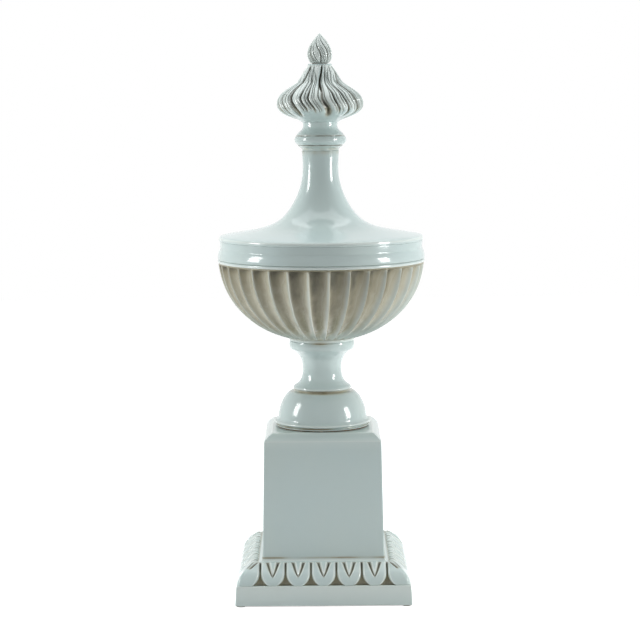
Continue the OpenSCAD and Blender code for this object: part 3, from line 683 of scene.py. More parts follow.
def foot_piece():
    """Dome foot and waisted stem, thrown as one: ring, flare, dome, washed groove, bead, stem and collar."""
    groove_z = foot_z + 52
    waist_z = groove_z + 29
    waist_r = 27.8
    stem_wall = 10
    collar_foot_z = stem_top_z - 11
    disc = rounded([(foot_r - 10, foot_z), (foot_r - 2.0, foot_z), (foot_r - 1.6, foot_z + 1.2),
                    (foot_r - 4.2, foot_z + 1.8), (foot_r - 4.4, foot_z + 3.4)], 0.5)
    ring = np.concatenate([disc, bulge(foot_r - 3.2, foot_z + 3.6, foot_z + 8.4, 3.1, 10)])
    flare = bezier((foot_r - 3.6, foot_z + 8.8), (foot_r - 5.2, foot_z + 9.6), (foot_r - 6.0, foot_z + 10.8),
                   (foot_r - 6.1, foot_z + 12.6), 6)
    dome = bezier((foot_r - 6.2, foot_z + 13.4), (foot_r - 7.8, foot_z + 26.5),
                  (foot_r - 13.8, foot_z + 42.5), (46.0, foot_z + 48.5), 20)
    groove = rounded([(44.2, groove_z - 3.0), (41.0, groove_z - 2.6), (39.6, groove_z - 1.2),
                      (39.9, groove_z + 0.1)], 0.7)
    bead = bezier((40.4, groove_z + 0.3), (42.6, groove_z + 0.9), (42.0, groove_z + 3.6),
                  (38.8, groove_z + 5.6), 12)
    low = bezier((38.3, groove_z + 5.9), (31.0, groove_z + 10.6), (waist_r, waist_z - 12),
                 (waist_r, waist_z), 16)
    high = bezier((waist_r, waist_z), (waist_r, waist_z + 13), (32.0, collar_foot_z - 6.5),
                  (43.5, collar_foot_z), 16)
    # The collar's rim stands up round the cork, a hair below the bowl
    cork_edge = extent("bowl_cork")[0] + past_cork
    head = rounded([(45.8, collar_foot_z + 1.6), (boss_r - 0.6, collar_foot_z + 4),
                    (boss_r, collar_foot_z + 7), (boss_r - 0.3, stem_top_z), (boss_r - 0.7, bowl_z - hair),
                    (cork_edge, bowl_z - hair), (cork_edge, stem_top_z), (tie_hole, stem_top_z)], 0.6)
    outer = refined(np.concatenate([ring, flare, dome, groove, bead, low, high[1:], head]), 4)
    # The hollow follows the outside, without the ends where its curves would cross
    deck_z = stem_top_z - deck - 4
    inner = np.concatenate([[(waist_r - stem_wall, deck_z)], (high + outward(high) * -stem_wall)[::-1][6:],
                            (low + outward(low) * -stem_wall)[::-1][1:-3],
                            (dome + outward(dome) * -wall)[::-1][4:]])
    rows = as_rows(np.concatenate([outer, [(tie_hole, deck_z)], inner]))
    # The groove's wash is painted heavier at the front and fades towards the sides, as painted shade; a thin
    # line of wash is left over the bottom ring
    groove_wash_and_shade = pooled(rows, [(40.4, groove_z - 1.6, 2.3, 0.95), (43.6, groove_z - 3.4, 2.8, 0.62)])
    groove_wash_and_shade = groove_wash_and_shade * (0.35 + 0.65 * wash_and_shade_patch(round_stations, 0, 42))
    groove_wash_and_shade = groove_wash_and_shade * uneven(round_stations, 5, 0.7)
    ring_wash = pooled(rows, [(foot_r - 4, foot_z + 2.6, 2.0, 0.66)]) * uneven(round_stations, 6, 0.1)
    smear = pooled(rows, [(boss_r, bowl_z, 1.6, 0.8)]) * wash_and_shade_patch(round_stations, -3, 15)
    wash = np.maximum(np.maximum(groove_wash_and_shade, ring_wash), smear)
    edge = pooled(rows, [(41.8, groove_z + 2.4, 1.2, 0.4), (foot_r, foot_z + 6.4, 1.6, 0.6),
                         (foot_r - 2, foot_z + 0.8, 0.9, 0.6)])
    raw = [0, *range(len(outer), len(rows))]
    return lofted("foot_body", rows, round_stations, raw, wash, edge)


settle(foot_piece(), "urn", "glaze", "foot_casting", materials=[glaze, clay])


# Bowl: thrown, then fluted by a tree that scoops the flutes out of the turned wall
flute_count = 32
flute_depth = 6.2
# The scoop's share of the pitch, and how far the first flute is turned, in degrees
flute_width = 0.95
flute_turn = 1.4
flute_low_z = bowl_z + 4.5
band_z = flute_low_z + 108
bowl_wall_r = bowl_reach - 1.7
band_top_r = lid_r - 0.7
mouth_r = band_top_r - 9.5


def flute_tree():
    """Scoops flutes along the surface's stored direction, where the stored share up the flute says so."""
    tree, start = new_tree("flutes", {"Count": "NodeSocketInt", "Depth": "NodeSocketFloat",
                                      "Width": "NodeSocketFloat", "Turn": "NodeSocketFloat"})
    taper, share, out = (
        add(tree, "GeometryNodeInputNamedAttribute", {"Name": name}, data_type=kind).outputs[0]
        for name, kind in (("taper", "FLOAT"), ("share", "FLOAT"), ("out", "FLOAT_VECTOR")))
    turns = around(tree)[0]
    phase = add(tree, "ShaderNodeMath", {0: turns, 1: start.outputs["Count"]}, operation="MULTIPLY")
    phase = add(tree, "ShaderNodeMath", {0: phase.outputs[0], 1: start.outputs["Turn"]}, operation="ADD")
    phase = add(tree, "ShaderNodeMath", {0: phase.outputs[0]}, operation="FRACT").outputs[0]
    across = add(tree, "ShaderNodeMath", {0: phase, 1: 2.0, 2: -1.0}, operation="MULTIPLY_ADD").outputs[0]
    # The scoop is a little narrower than the flute and is drawn in at its upper end
    width = add(tree, "ShaderNodeMath", {0: taper, 1: start.outputs["Width"]}, operation="MULTIPLY")
    width = add(tree, "ShaderNodeMath", {0: width.outputs[0], 1: 0.001}, operation="MAXIMUM").outputs[0]
    part = add(tree, "ShaderNodeMath", {0: across, 1: width}, operation="DIVIDE").outputs[0]
    square = add(tree, "ShaderNodeMath", {0: part, 1: part}, operation="MULTIPLY").outputs[0]
    room = add(tree, "ShaderNodeMath", {0: 1.0, 1: square}, operation="SUBTRACT", use_clamp=True).outputs[0]
    scoop = add(tree, "ShaderNodeMath", {0: room, 1: 0.72}, operation="POWER").outputs[0]
    scoop = add(tree, "ShaderNodeMath", {0: scoop, 1: share}, operation="MULTIPLY").outputs[0]
    deep = add(tree, "ShaderNodeMath", {0: scoop, 1: start.outputs["Depth"]}, operation="MULTIPLY").outputs[0]
    inward = add(tree, "ShaderNodeMath", {0: deep, 1: -1.0}, operation="MULTIPLY").outputs[0]
    offset = add(tree, "ShaderNodeVectorMath", {0: out, "Scale": inward}, operation="SCALE").outputs[0]
    shape = add(tree, "GeometryNodeSetPosition", {"Geometry": start.outputs[0], "Offset": offset}).outputs[0]
    for name, value in (("scoop", scoop), ("across", across)):
        shape = add(tree, "GeometryNodeStoreNamedAttribute",
                    {"Geometry": shape, "Name": name, "Value": value},
                    data_type="FLOAT", domain="POINT").outputs[0]
    return finish_tree(tree, shape, glaze)


def bowl_piece():
    """The bowl with its boss, flutes and rim band, glazed inside."""
    boss = rounded([(tie_hole, bowl_z), (boss_r - 1.2, bowl_z), (boss_r, bowl_z + 1.0),
                    (boss_r + 0.4, bowl_z + 4.0), (boss_r + 0.2, flute_low_z)], 0.7)
    body = bezier((boss_r + 2.5, flute_low_z + 0.4), (94.3, flute_low_z + 11), (141, flute_low_z + 46),
                  (bowl_wall_r, band_z), 84)
    lip_z = band_z + 1.4
    lip = bulge(bowl_wall_r - 0.7, lip_z, lip_z + 4.8, 1.9, 10)
    # The belly is an arc that faces a little down at its foot and up at its head, under a tight waist
    belly_r = 23
    facing = np.radians(np.linspace(-6, 24, 15))
    belly = np.stack([bowl_wall_r + 1.0 - belly_r * (1 - np.cos(facing)),
                      lip_z + 7.8 + belly_r * np.sin(facing)], 1)
    waist_r = band_top_r - 0.8
    shoulder = bezier(belly[-1], belly[-1] + (-0.94, 2.1), (waist_r, rim_z - 11.3),
                      (waist_r, rim_z - 10.5), 10)[1:]
    rim = rounded([(waist_r, rim_z - 9), (band_top_r - 0.2, rim_z), (mouth_r + 0.6, rim_z),
                   (mouth_r, rim_z - 1.0)], 0.3)
    hollow = (body + outward(body) * -(wall + flute_depth))[::-1][::4]
    inside = np.concatenate([[(mouth_r, band_z + wall)], hollow[1:], [(tie_hole, hollow[-1, 1])]])
    points = np.concatenate([boss, body, lip, belly, shoulder, rim, inside])
    rows = as_rows(points)
    flutes = slice(len(boss), len(boss) + len(body))
    # How deep and how wide a flute is at each row: it fades in below and has a square head with soft corners
    along = np.linspace(0, 1, len(body))
    share, taper = np.zeros(len(rows)), np.zeros(len(rows))
    head = np.clip((1 - along) / 0.012, 0, 1) ** 0.7
    share[flutes] = (body[:, 0] / bowl_wall_r) ** 0.6 * np.clip(along / 0.05, 0, 1) * head
    corner = np.clip((1 - along) / 0.02, 0, 1)
    taper[flutes] = 0.8 + 0.2 * np.sqrt(1 - (1 - corner) ** 2)
    _, _, dx, dy = ring_plan(fine_round_stations, rows[:, 0], rows[:, 2])
    out = outward(points)
    ways = np.stack([out[:, :1] * dx, out[:, :1] * dy, np.repeat(out[:, 1:], dx.shape[1], 1)], 2)
    piece = lofted("bowl_body", rows, fine_round_stations)
    columns = 4 * len(fine_round_stations)
    add_layer(piece.data, "share", np.repeat(share, columns))
    add_layer(piece.data, "taper", np.repeat(taper, columns))
    add_layer(piece.data, "out", ways, "FLOAT_VECTOR")
    modifier = piece.modifiers.new("flutes", "NODES")
    modifier.node_group = flute_tree()
    set_input(modifier, "Count", flute_count)
    set_input(modifier, "Depth", flute_depth * mm)
    set_input(modifier, "Width", flute_width)
    set_input(modifier, "Turn", 0.5 + flute_turn * flute_count / 360)
    mesh = baked(piece).data
    scoop, across = (read_layer(mesh, name).reshape(len(rows), columns)[flutes]
                     for name in ("scoop", "across"))
    # The wash lies in the scoops, thinner towards their lower ends. Painted shade is added in: each flute is
    # darker on its left side, and the flutes are darker towards the front
    up = along[:, None]
    front = wash_and_shade_patch(fine_round_stations, 6, 38)
    wash_and_shade = (0.16 + 0.23 * np.clip(scoop / 0.8, 0, 1) ** 0.7) * (0.42 + 0.58 * np.clip(up / 0.35, 0, 1))
    wash_and_shade = wash_and_shade * (1.20 - 0.56 * across) * (0.76 + 0.46 * front)
    # Under the lip the flutes are darker, most on their left side: partly wash, partly painted shadow under
    # the lip. More wash lies in the crease where the flutes start
    under_lip = 0.20 * np.exp(-((1 - up) / 0.04) ** 2) + 0.12 * np.exp(-((1 - up) / 0.25) ** 2)
    shade = under_lip * (1.1 - 0.7 * across) * np.clip(scoop / 0.3, 0, 1) + wash_and_shade * 0.2 * up
    crease = 0.24 * np.exp(-(up / 0.035) ** 2)
    wash = pooled(rows, [(boss_r + 1, flute_low_z, 1.8, 0.2), (bowl_wall_r - 0.4, band_z + 0.4, 1.3, 0.8),
                         (bowl_wall_r, lip_z + 5.4, 0.8, 0.22)])
    smear = pooled(rows, [(boss_r, bowl_z, 1.8, 0.8)]) * wash_and_shade_patch(fine_round_stations, -3, 15)
    washes = np.maximum(np.repeat(wash, columns, 1), smear)
    washes[flutes] = np.maximum(washes[flutes], wash_and_shade + shade + crease)
    # The glaze ran thin on the lip, on the boss and on the crests between the flutes
    edge = pooled(rows, [(bowl_wall_r + 0.8, lip_z + 2.2, 1.2, 0.7), (boss_r + 0.3, bowl_z + 2.5, 2.0, 0.4)])
    edges = np.repeat(edge, columns, 1)
    crest = np.clip(1 - scoop / 0.16, 0, 1) * 0.5 * np.clip(up / 0.1, 0, 1) * (up < 0.985)
    edges[flutes] = np.maximum(edges[flutes], crest)
    write_layer(mesh, "wash", washes)
    write_layer(mesh, "edge", edges)
    for name in ("share", "taper", "out", "scoop", "across"):
        mesh.attributes.remove(mesh.attributes[name])
    return piece


settle(bowl_piece(), "urn", "washed_glaze", "bowl_casting")


def lid_piece():
    """The trumpet lid: rounded edge, low shoulder, tall neck, and the flange that drops into the bowl."""
    lid_z = flange_z + 14
    shoulder_z = lid_z + 5
    neck_r = 25.4
    span = neck_top_z - shoulder_z
    throat_r = neck_r + 32.6
    throat_z = shoulder_z + span * 0.195
    neck_z = shoulder_z + span * 0.8
    flange_r = mouth_r - 3
    # A thin drip edge hangs outside the seal, a hair above the bowl's rim
    drip_z = rim_z + 0.15
    seal_edge = extent("lid_seal")[0] + past_cork
    under = [(flange_r - 6, flange_z), (flange_r, flange_z), (flange_r, lid_z), (seal_edge, lid_z),
             (seal_edge, drip_z), (lid_r - 0.7, drip_z)]
    edge_run = rounded([*under, (lid_r, lid_z - 0.2), (lid_r - 0.1, lid_z + 3.0),
                        (lid_r - 1.6, shoulder_z)], 0.5)
    shoulder = bezier((lid_r - 2.4, shoulder_z + 0.3), (112, shoulder_z + 6.9), (78, shoulder_z + 8.0),
                      (throat_r, throat_z), 30)
    throat = bezier((throat_r, throat_z), (neck_r + 16.6, shoulder_z + span * 0.303),
                    (neck_r, shoulder_z + span * 0.55), (neck_r, neck_z), 28)[1:]
    neck = bezier((neck_r, neck_z), (neck_r, shoulder_z + span * 0.87), (neck_r + 0.5, neck_top_z - 6),
                  (neck_r + 1.4, neck_top_z - 0.4), 8)[1:]
    top = [(neck_r + 0.6, neck_top_z), (brass_hole, neck_top_z)]
    outer = np.concatenate([edge_run, shoulder, throat, neck, top])
    deck_z = neck_top_z - deck
    ceiling = shoulder + outward(shoulder) * -wall
    ceiling = ceiling[ceiling[:, 0] < flange_r - 8]
    bell = throat + outward(throat) * -wall
    inside = np.concatenate([[(brass_hole, deck_z), (neck_r - wall, deck_z)], bell[::-1], ceiling[::-1][1:],
                             [(flange_r - 6, ceiling[0, 1] - 0.6)]])
    rows = as_rows(np.concatenate([outer, inside]))
    stations = side_stations(56, 0)
    wash = pooled(rows, [(neck_r + 1.2, neck_top_z - 1, 4.0, 0.24)]) * uneven(stations, 8, 0.3)
    edge = pooled(rows, [(lid_r, lid_z + 3, 2.0, 0.7)])
    # The underside is bare as far as the seal
    raw = [*range(14), *range(len(outer), len(rows))]
    return lofted("lid_body", rows, stations, raw, wash, edge)


settle(lid_piece(), "lid", "glaze", "lid_casting", materials=[glaze, clay])


def collar_piece():
    """The turned collar: a fillet, a bead with a cut line above and below it, and a cove up to the flame."""
    low_line_z = collar_z + 6.4
    high_line_z = collar_z + 19.6
    hollow_r = 15
    # A skirt hangs round the cork, a hair above the neck
    low_edge = extent("collar_cork")[0] + past_cork
    skirt_z = neck_top_z + hair
    foot = rounded([(brass_hole, collar_z), (low_edge, collar_z), (low_edge, skirt_z), (26.0, skirt_z),
                    (26.5, collar_z + 1.0), (28.4, collar_z + 3.2), (30.4, collar_z + 4.2),
                    (31.6, collar_z + 5.6)], 0.3)
    low_line = rounded([(31.9, low_line_z - 0.5), (31.5, low_line_z), (32.2, low_line_z + 0.6)], 0.3)
    bead = bezier((32.8, low_line_z + 1.0), (37.4, low_line_z + 4.0), (37.6, low_line_z + 9.0),
                  (35.2, high_line_z - 0.5), 18)
    high_line = rounded([(34.9, high_line_z - 0.3), (34.2, high_line_z + 0.1),
                         (34.3, high_line_z + 0.7)], 0.3)
    cove = bezier((34.0, high_line_z + 1.1), (31.6, high_line_z + 6.0), (24.4, high_line_z + 8.2),
                  (24.3, high_line_z + 15.2), 18)
    # The top edge stands up round the cork, a hair below the flame
    cork_edge = extent("swirl_cork")[0] + past_cork
    top = [(24.7, swirl_z - 0.5), (24.6, swirl_z - hair), (cork_edge, swirl_z - hair),
           (cork_edge, collar_top_z), (brass_hole, collar_top_z)]
    outer = refined(np.concatenate([foot, low_line, bead, high_line, cove, top]), 5)
    inner = [(brass_hole, collar_top_z - deck), (hollow_r, collar_top_z - deck),
             (hollow_r, collar_z + deck), (brass_hole, collar_z + deck)]
    rows = as_rows(np.concatenate([outer, inner]))
    low_wash = pooled(rows, [(31.6, low_line_z, 0.9, 0.85)]) * uneven(round_stations, 11, 0.35)
    high_wash = pooled(rows, [(34.3, high_line_z + 0.3, 0.8, 0.8)]) * uneven(round_stations, 12, 0.25)
    lines = np.maximum(low_wash, high_wash)
    foot_wash = pooled(rows, [(27.2, collar_z + 1.6, 2.6, 0.3)]) * uneven(round_stations, 13, 0.3)
    edge = pooled(rows, [(31.2, collar_z + 5.0, 0.9, 0.5), (34.0, high_line_z + 1.4, 0.8, 0.4)])
    grey = (lines > 0.1) * 1.0
    raw = range(len(outer), len(rows))
    return lofted("collar_body", rows, round_stations, raw, np.maximum(lines, foot_wash), edge, grey)


settle(collar_piece(), "lid", "glaze", "neck_collar", materials=[glaze, clay])


# Flame and bud: grooves cut between locks like locks of hair, and finer ones between a lock's strands.
# A groove is named by where it crosses the widest place, in degrees from the front, positive to the right.
front_groove = 7
groove_places = (-168, -149, -129, -111, -93, -76, -59, -40, -23, -12, front_groove,
                 23, 39, 61, 80, 99, 117, 138, 155, 174)
wide_grooves = (-168, -111, -76, -40, front_groove, 61, 80, 117)
# Locks whose strands are faint, each by the groove on its left, and the turn that a strand takes up
plain_locks = (-129, -40, 99)
strand_turn = 5.2


def carve(rows, part, stations, grooves):
    """Cuts grooves into part of an outline: how far each point moves, its wash and its crests, which the
    callers paint paler as a painted highlight.

    Each groove has its place in degrees at each row, its half width in millimetres and its depth at each row.
    """
    shape = (len(rows), 4 * len(stations))
    r = rows[part, :1]
    turn = degrees_round(stations)[None, :]
    cut = np.zeros((len(r), shape[1]))
    stain = np.zeros_like(cut)
    # A notch is sharp at its foot and eases out, and two that meet deepen each other a little
    for place, half, depth in grooves:
        off = np.abs(wrapped(turn - place)) * math.pi / 180 * r / half
        notch = depth * np.exp(-1.3 * off ** 1.15)
        cut = np.maximum(cut, notch) + 0.25 * np.minimum(cut, notch)
        stain = np.maximum(stain, np.clip(depth / 3.4, 0, 1) * np.exp(-(off / 0.8) ** 2))
    shift, wash, crest = np.zeros(shape), np.zeros(shape), np.zeros(shape)
    shift[part] = -cut
    wash[part] = stain
    crest[part] = np.clip(1.1 - cut / 0.75, 0, 1)
    return shift, wash, crest


def flame_grooves(z, r):
    """The grooves between the flame's locks, and the finer ones between the strands of each lock."""
    rng = np.random.default_rng(23)
    lean = -11 * ease(z, swirl_z + 12, swirl_z + 38) - 3 * ease(z, swirl_z + 38, swirl_z + 56)
    turn_per_mm = 180 / math.pi / r
    for number, place in enumerate(groove_places):
        width = np.clip(r / swirl_r, 0.25, 1) ** 0.7
        wide = place in wide_grooves
        at_front = place == front_groove
        side = 1 if place > 0 else -1
        top_turn = (7 * side + 9 * rng.uniform(-1, 1)) * ease(z, swirl_z + 54, swirl_top_z - 4)
        beat = 2 * math.pi * rng.random()
        sway = 1.3 * np.sin(z / 8.0 + beat) * ease(z, swirl_z + 16, swirl_z + 46) * turn_per_mm
        way = place + 6 + lean + sway + top_turn
        # A groove starts above the smooth cove and grows shallow towards the ring at the top
        low = swirl_z + (5 if wide else 10) + 4 * rng.random() - 5 * (abs(place + 5) > 40)
        on = ease(z, low, low + 9) * (1 - 0.5 * ease(z, swirl_z + 36, swirl_z + 56) * (not at_front))
        on = on * (1 - ease(z, swirl_top_z - 5, swirl_top_z - 1.5))
        if at_front:
            # The one in front gapes at its foot, is shallow at its middle and ends in a slit
            middle = ease(z, swirl_z + 24, swirl_z + 34) * (1 - ease(z, swirl_z + 42, swirl_z + 52))
            on = on * (1 - 0.6 * middle)
            width = width * (1.5 - 0.6 * ease(z, swirl_z + 22, swirl_z + 36))
        yield way, (3.4 if wide else 1.8) * width, (5.6 if wide else 3.4) * on
        gap = (groove_places[(number + 1) % len(groove_places)] - place) % 360
        count = max(2, round(gap / strand_turn))
        plain = 1 - 0.6 * ease(z, swirl_z + 24, swirl_z + 34) * (place in plain_locks)
        for k in range(1, count):
            share = (k + 0.25 * rng.uniform(-1, 1)) / count
            bend = 0.8 * np.sin(z / 5.5 + beat + 1.5 * share)
            bend = bend * ease(z, swirl_z + 20, swirl_z + 40) * turn_per_mm
            start = swirl_z + 11 + 9 * rng.random() - 5 * (abs(place + 5) > 45)
            stop = swirl_top_z - 3 - 26 * rng.random() ** 2
            on = ease(z, start, start + 6) * (1 - ease(z, stop - 7, stop)) * plain
            half = (1.0 + 0.5 * rng.random()) * width
            depth = (1.0 + 1.3 * rng.random()) * on
            yield way + gap * share + bend, half, depth


def flame_piece():
    """The swirled flame: a smooth cove below, locks that lean and straighten, and a ring at the top."""
    wide_z = swirl_z + 25.5
    shrug_z = swirl_z + 56.5
    shrug_r = swirl_r * 0.53
    under = bezier((26, swirl_z), (31, swirl_z + 6.5), (swirl_r + 0.3, swirl_z + 8.5), (swirl_r, wide_z), 24)
    over = bezier((swirl_r, wide_z), (swirl_r, wide_z + 16), (swirl_r * 0.72, shrug_z - 9),
                  (shrug_r, shrug_z), 34)[1:]
    tip = bezier((shrug_r, shrug_z), (swirl_r * 0.47, shrug_z + 4.5), (24.0, swirl_top_z - 11),
                 (17.0, swirl_top_z - 1.8), 22)[1:]
    # The ring at the top stands up round the bud's cork
    cork_edge = extent("bud_cork")[0] + past_cork
    hollow_r = 15
    ring = [*bulge(16.0, swirl_top_z - 1.9, swirl_top_z + 0.4, 1.0, 6), (cork_edge, swirl_top_z + 0.6),
            (cork_edge, swirl_top_z), (brass_hole, swirl_top_z)]
    outer = np.concatenate([[(hollow_r, swirl_z), (25.6, swirl_z)], under, over, tip, ring])
    thick = wall + 5
    hollow = [(brass_hole, shrug_z), (brass_hole + 6, shrug_z - 8), (swirl_r * 0.5, shrug_z - 18),
              (swirl_r - thick - 2, wide_z + 4), (swirl_r - thick, wide_z - 4),
              (swirl_r - thick - 8, swirl_z + thick), (hollow_r, swirl_z + thick)]
    rows = as_rows(np.concatenate([outer, hollow]))
    part = slice(2, 2 + len(under) + len(over) + len(tip))
    stations = side_stations(246, 0)
    grooves = flame_grooves(rows[part, 1:2], rows[part, :1])
    shift, wash, crest = carve(rows, part, stations, grooves)
    # A little brown is left at the lower ends of the grooves, and the rest is dark grey
    low_end = 1 - ease(rows[:, 1:2], swirl_z + 14, swirl_z + 26)
    smoke = 1 - 0.7 * low_end
    # The crests of the locks are painted paler, a painted highlight along each lock
    edge = 0.8 * ease(rows[:, 1:2], swirl_z + 12, swirl_z + 24) * crest
    raw = range(len(outer), len(rows))
    return lofted("flame_body", rows, stations, raw, 0.92 * wash, edge, smoke, shift)


settle(flame_piece(), "lid", "washed_glaze", "flame_swirl", materials=[glaze, clay])


def bud_grooves(z, r):
    """The bud's grooves, which wind to the left as they rise."""
    rng = np.random.default_rng(7)
    rise = (z - bud_z) / (tip_z - bud_z)
    width = np.clip(r / bud_r, 0.15, 1)
    on = ease(z, bud_z - 1, bud_z + 2)
    for k in range(10):
        start = k * 36 + 9 * rng.uniform(-1, 1) + 8
        way = start - 50 * rise ** 1.2 + 5 * np.sin(z / 5.5 + 2 * math.pi * rng.random())
        yield way, 1.5 * width, 2.5 * width * on * (0.6 + 0.4 * rng.random())
        for share in (0.35, 0.68):
            stop = bud_z + 20 + 20 * rng.random()
            fade = on * (1 - ease(z, stop - 5, stop))
            yield way + 36 * share + 4 * rng.uniform(-1, 1), 0.75 * width, 1.3 * width * fade


def bud_piece():
    """The small flame on top: twisted locks that close in a point."""
    waist_z = bud_z + 26
    low = bezier((13.0, bud_z), (bud_r + 2.2, bud_z + 6), (bud_r + 1, bud_z + 18),
                 (bud_r * 0.75, waist_z), 44)
    high = bezier((bud_r * 0.75, waist_z), (bud_r * 0.56, bud_z + 31), (bud_r * 0.33, tip_z - 5),
                  (0.25, tip_z - 0.1), 34)[1:]
    socket = extent("bud_socket")[0] + 0.05
    socket_top_z = bud_z + 18
    outer = np.concatenate([[(socket, bud_z), (12.4, bud_z)], low, high])
    core = [(pole_r, tip_z), (pole_r, socket_top_z), (socket, socket_top_z)]
    rows = as_rows(np.concatenate([outer, core]))
    part = slice(2, 2 + len(low) + len(high))
    stations = side_stations(110, 0)
    shift, wash, crest = carve(rows, part, stations, bud_grooves(rows[part, 1:2], rows[part, :1]))
    raw = range(len(outer) + 1, len(rows))
    # The crests are painted paler, a painted highlight along each lock
    return lofted("bud_body", rows, stations, raw, wash, 0.8 * crest, np.ones(1), shift)


settle(bud_piece(), "lid", "washed_glaze", "flame_bud", materials=[glaze, clay])


# Hardware. A nut's bore clears the rod's thread, and a washer's hole clears it by more.
bore_clear = 0.05
washer_clear = 0.5


def thread_tree(name, finish):
    """Cuts a thread into a tube of points, where it is marked: the radius falls and rises along a helix."""
    tree, start = new_tree(name, {"Pitch": "NodeSocketFloat", "Depth": "NodeSocketFloat"})
    threaded = add(tree, "GeometryNodeInputNamedAttribute", {"Name": "threaded"},
                   data_type="FLOAT").outputs[0]
    turns, place = around(tree)
    climb = add(tree, "ShaderNodeMath", {0: place[2], 1: start.outputs["Pitch"]}, operation="DIVIDE")
    phase = add(tree, "ShaderNodeMath", {0: climb.outputs[0], 1: turns}, operation="SUBTRACT").outputs[0]
    ridge = add(tree, "ShaderNodeMath", {0: phase, 1: 0.5}, operation="PINGPONG").outputs[0]
    deep = add(tree, "ShaderNodeMath", {0: ridge, 1: -2.0}, operation="MULTIPLY").outputs[0]
    deep = add(tree, "ShaderNodeMath", {0: deep, 1: start.outputs["Depth"]}, operation="MULTIPLY").outputs[0]
    flat = add(tree, "ShaderNodeCombineXYZ", {0: place[0], 1: place[1]}).outputs[0]
    way = add(tree, "ShaderNodeVectorMath", {0: flat}, operation="NORMALIZE").outputs[0]
    offset = add(tree, "ShaderNodeVectorMath", {0: way, "Scale": deep}, operation="SCALE").outputs[0]
    marked = add(tree, "FunctionNodeCompare", {0: threaded, 1: 0.5}, data_type="FLOAT",
                 operation="GREATER_THAN").outputs[0]
    moved = add(tree, "GeometryNodeSetPosition", {"Geometry": start.outputs[0], "Selection": marked,
                                                 "Offset": offset}).outputs[0]
    return finish_tree(tree, moved, finish)


def rod_piece(name, node, pitch, depth, sides, finish):
    """A threaded rod with chamfered ends, its thread a little coarser than the real one, so that it shows."""
    r, low, high = extent(node)
    plain_end = 1.2
    end_r = r - 1.0
    middle = np.arange(low + plain_end, high - plain_end, pitch / 5)
    rows = as_rows([(pole_r, low), (end_r, low), *((r, z) for z in middle), (end_r, high), (pole_r, high)])
    stations = side_stations(sides, 0)
    piece = lofted(name, rows, stations)
    threaded = np.zeros(len(rows))
    threaded[2:-2] = 1
    add_layer(piece.data, "threaded", np.repeat(threaded, 4 * len(stations)))
    modifier = piece.modifiers.new("thread", "NODES")
    modifier.node_group = thread_tree(name, finish)
    set_input(modifier, "Pitch", pitch * mm)
    set_input(modifier, "Depth", depth * mm)
    return baked(piece)


settle(rod_piece("tie_rod_threaded", "tie_rod", pitch=1.8, depth=0.8, sides=7, finish=zinc),
       "urn", "steel", "tie_rod")
settle(rod_piece("finial_rod_threaded", "finial_rod", pitch=1.25, depth=0.5, sides=6, finish=brass),
       "lid", "brass", "finial_rod")


def nut_piece(name, node, bore):
    """A hexagon nut with its corners turned off at both faces and a chamfered bore."""
    low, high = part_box(node)
    z0, z1 = low.z / mm, high.z / mm
    corner = (high.x - low.x) / 2 / mm
    flat = corner * math.cos(math.pi / 6)
    turned_off = (corner - flat) * 0.55
    chamfer = 0.7
    angle = np.radians(np.arange(0, 360, 5))
    to_flat = flat / np.cos((angle + math.pi / 6) % (math.pi / 3) - math.pi / 6)
    rings = [(np.minimum(to_flat, turned_r), z)
             for turned_r, z in ((flat - 0.3, z0), (corner, z0 + turned_off), (corner, z1 - turned_off),
                                 (flat - 0.3, z1))]
    rings += [(np.full(len(angle), r), z)
              for r, z in ((bore + chamfer, z1), (bore, z1 - chamfer), (bore, z0 + chamfer),
                           (bore + chamfer, z0))]
    points = [(r[k] * math.cos(a) * mm, r[k] * math.sin(a) * mm, z * mm) for r, z in rings
              for k, a in enumerate(angle)]
    n = len(angle)
    count = len(rings)
    faces = [(i * n + k, i * n + (k + 1) % n, (i + 1) % count * n + (k + 1) % n, (i + 1) % count * n + k)
             for i in range(count) for k in range(n)]
    mesh = bpy.data.meshes.new(name)
    mesh.from_pydata(points, [], faces)
    shade_smooth(mesh, 25)
    return new_object(name, mesh)


def washer_piece(name, node, hole, soft):
    """A flat ring with eased edges."""
    r, z0, z1 = extent(node)
    outline = rounded([(hole, z0), (r, z0), (r, z1), (hole, z1), (hole, z0)], soft, 3)[:-1]
    return lofted(name, as_rows(outline), round_stations)


for name, node, body, bore, slot, finish in (
        ("base_nut_hex", "base_nut", "urn", tie_r + bore_clear, "steel", zinc),
        ("bowl_nut_hex", "bowl_nut", "urn", tie_r + bore_clear, "steel", zinc),
        ("finial_nut_hex", "finial_nut", "lid", brass_r + bore_clear, "brass", brass)):
    settle(nut_piece(name, node, bore), body, slot, node, materials=[finish])
for name, node, body, hole, slot, finish in (
        ("base_washer_ring", "base_washer", "urn", tie_r + washer_clear, "steel", zinc),
        ("bowl_washer_ring", "bowl_washer", "urn", tie_r + washer_clear, "steel", zinc),
        ("bowl_cushion_ring", "bowl_cushion", "urn", tie_r + washer_clear, "rubber", rubber),
        ("finial_washer_ring", "finial_washer", "lid", brass_r + washer_clear, "brass", brass),
        ("finial_cushion_ring", "finial_cushion", "lid", brass_r + washer_clear, "rubber", rubber)):
    settle(washer_piece(name, node, hole, 0.4), body, slot, node, materials=[finish])


def plate_piece():
    """The steel plate under the base's deck, with sheared edges and rounded corners."""
    edge = rounded([(plate_half - 3, plate_z), (plate_half, plate_z), (plate_half, base_deck_z),
                    (plate_half - 3, base_deck_z)], 0.4, 3)
    rows = np.concatenate([as_rows(edge, 2), as_rows([(tie_hole, base_deck_z), (tie_hole, plate_z)])])
    return lofted("clamp_plate_cut", rows, side_stations(24, 0.8))


settle(plate_piece(), "urn", "steel", "clamp_plate", materials=[zinc])

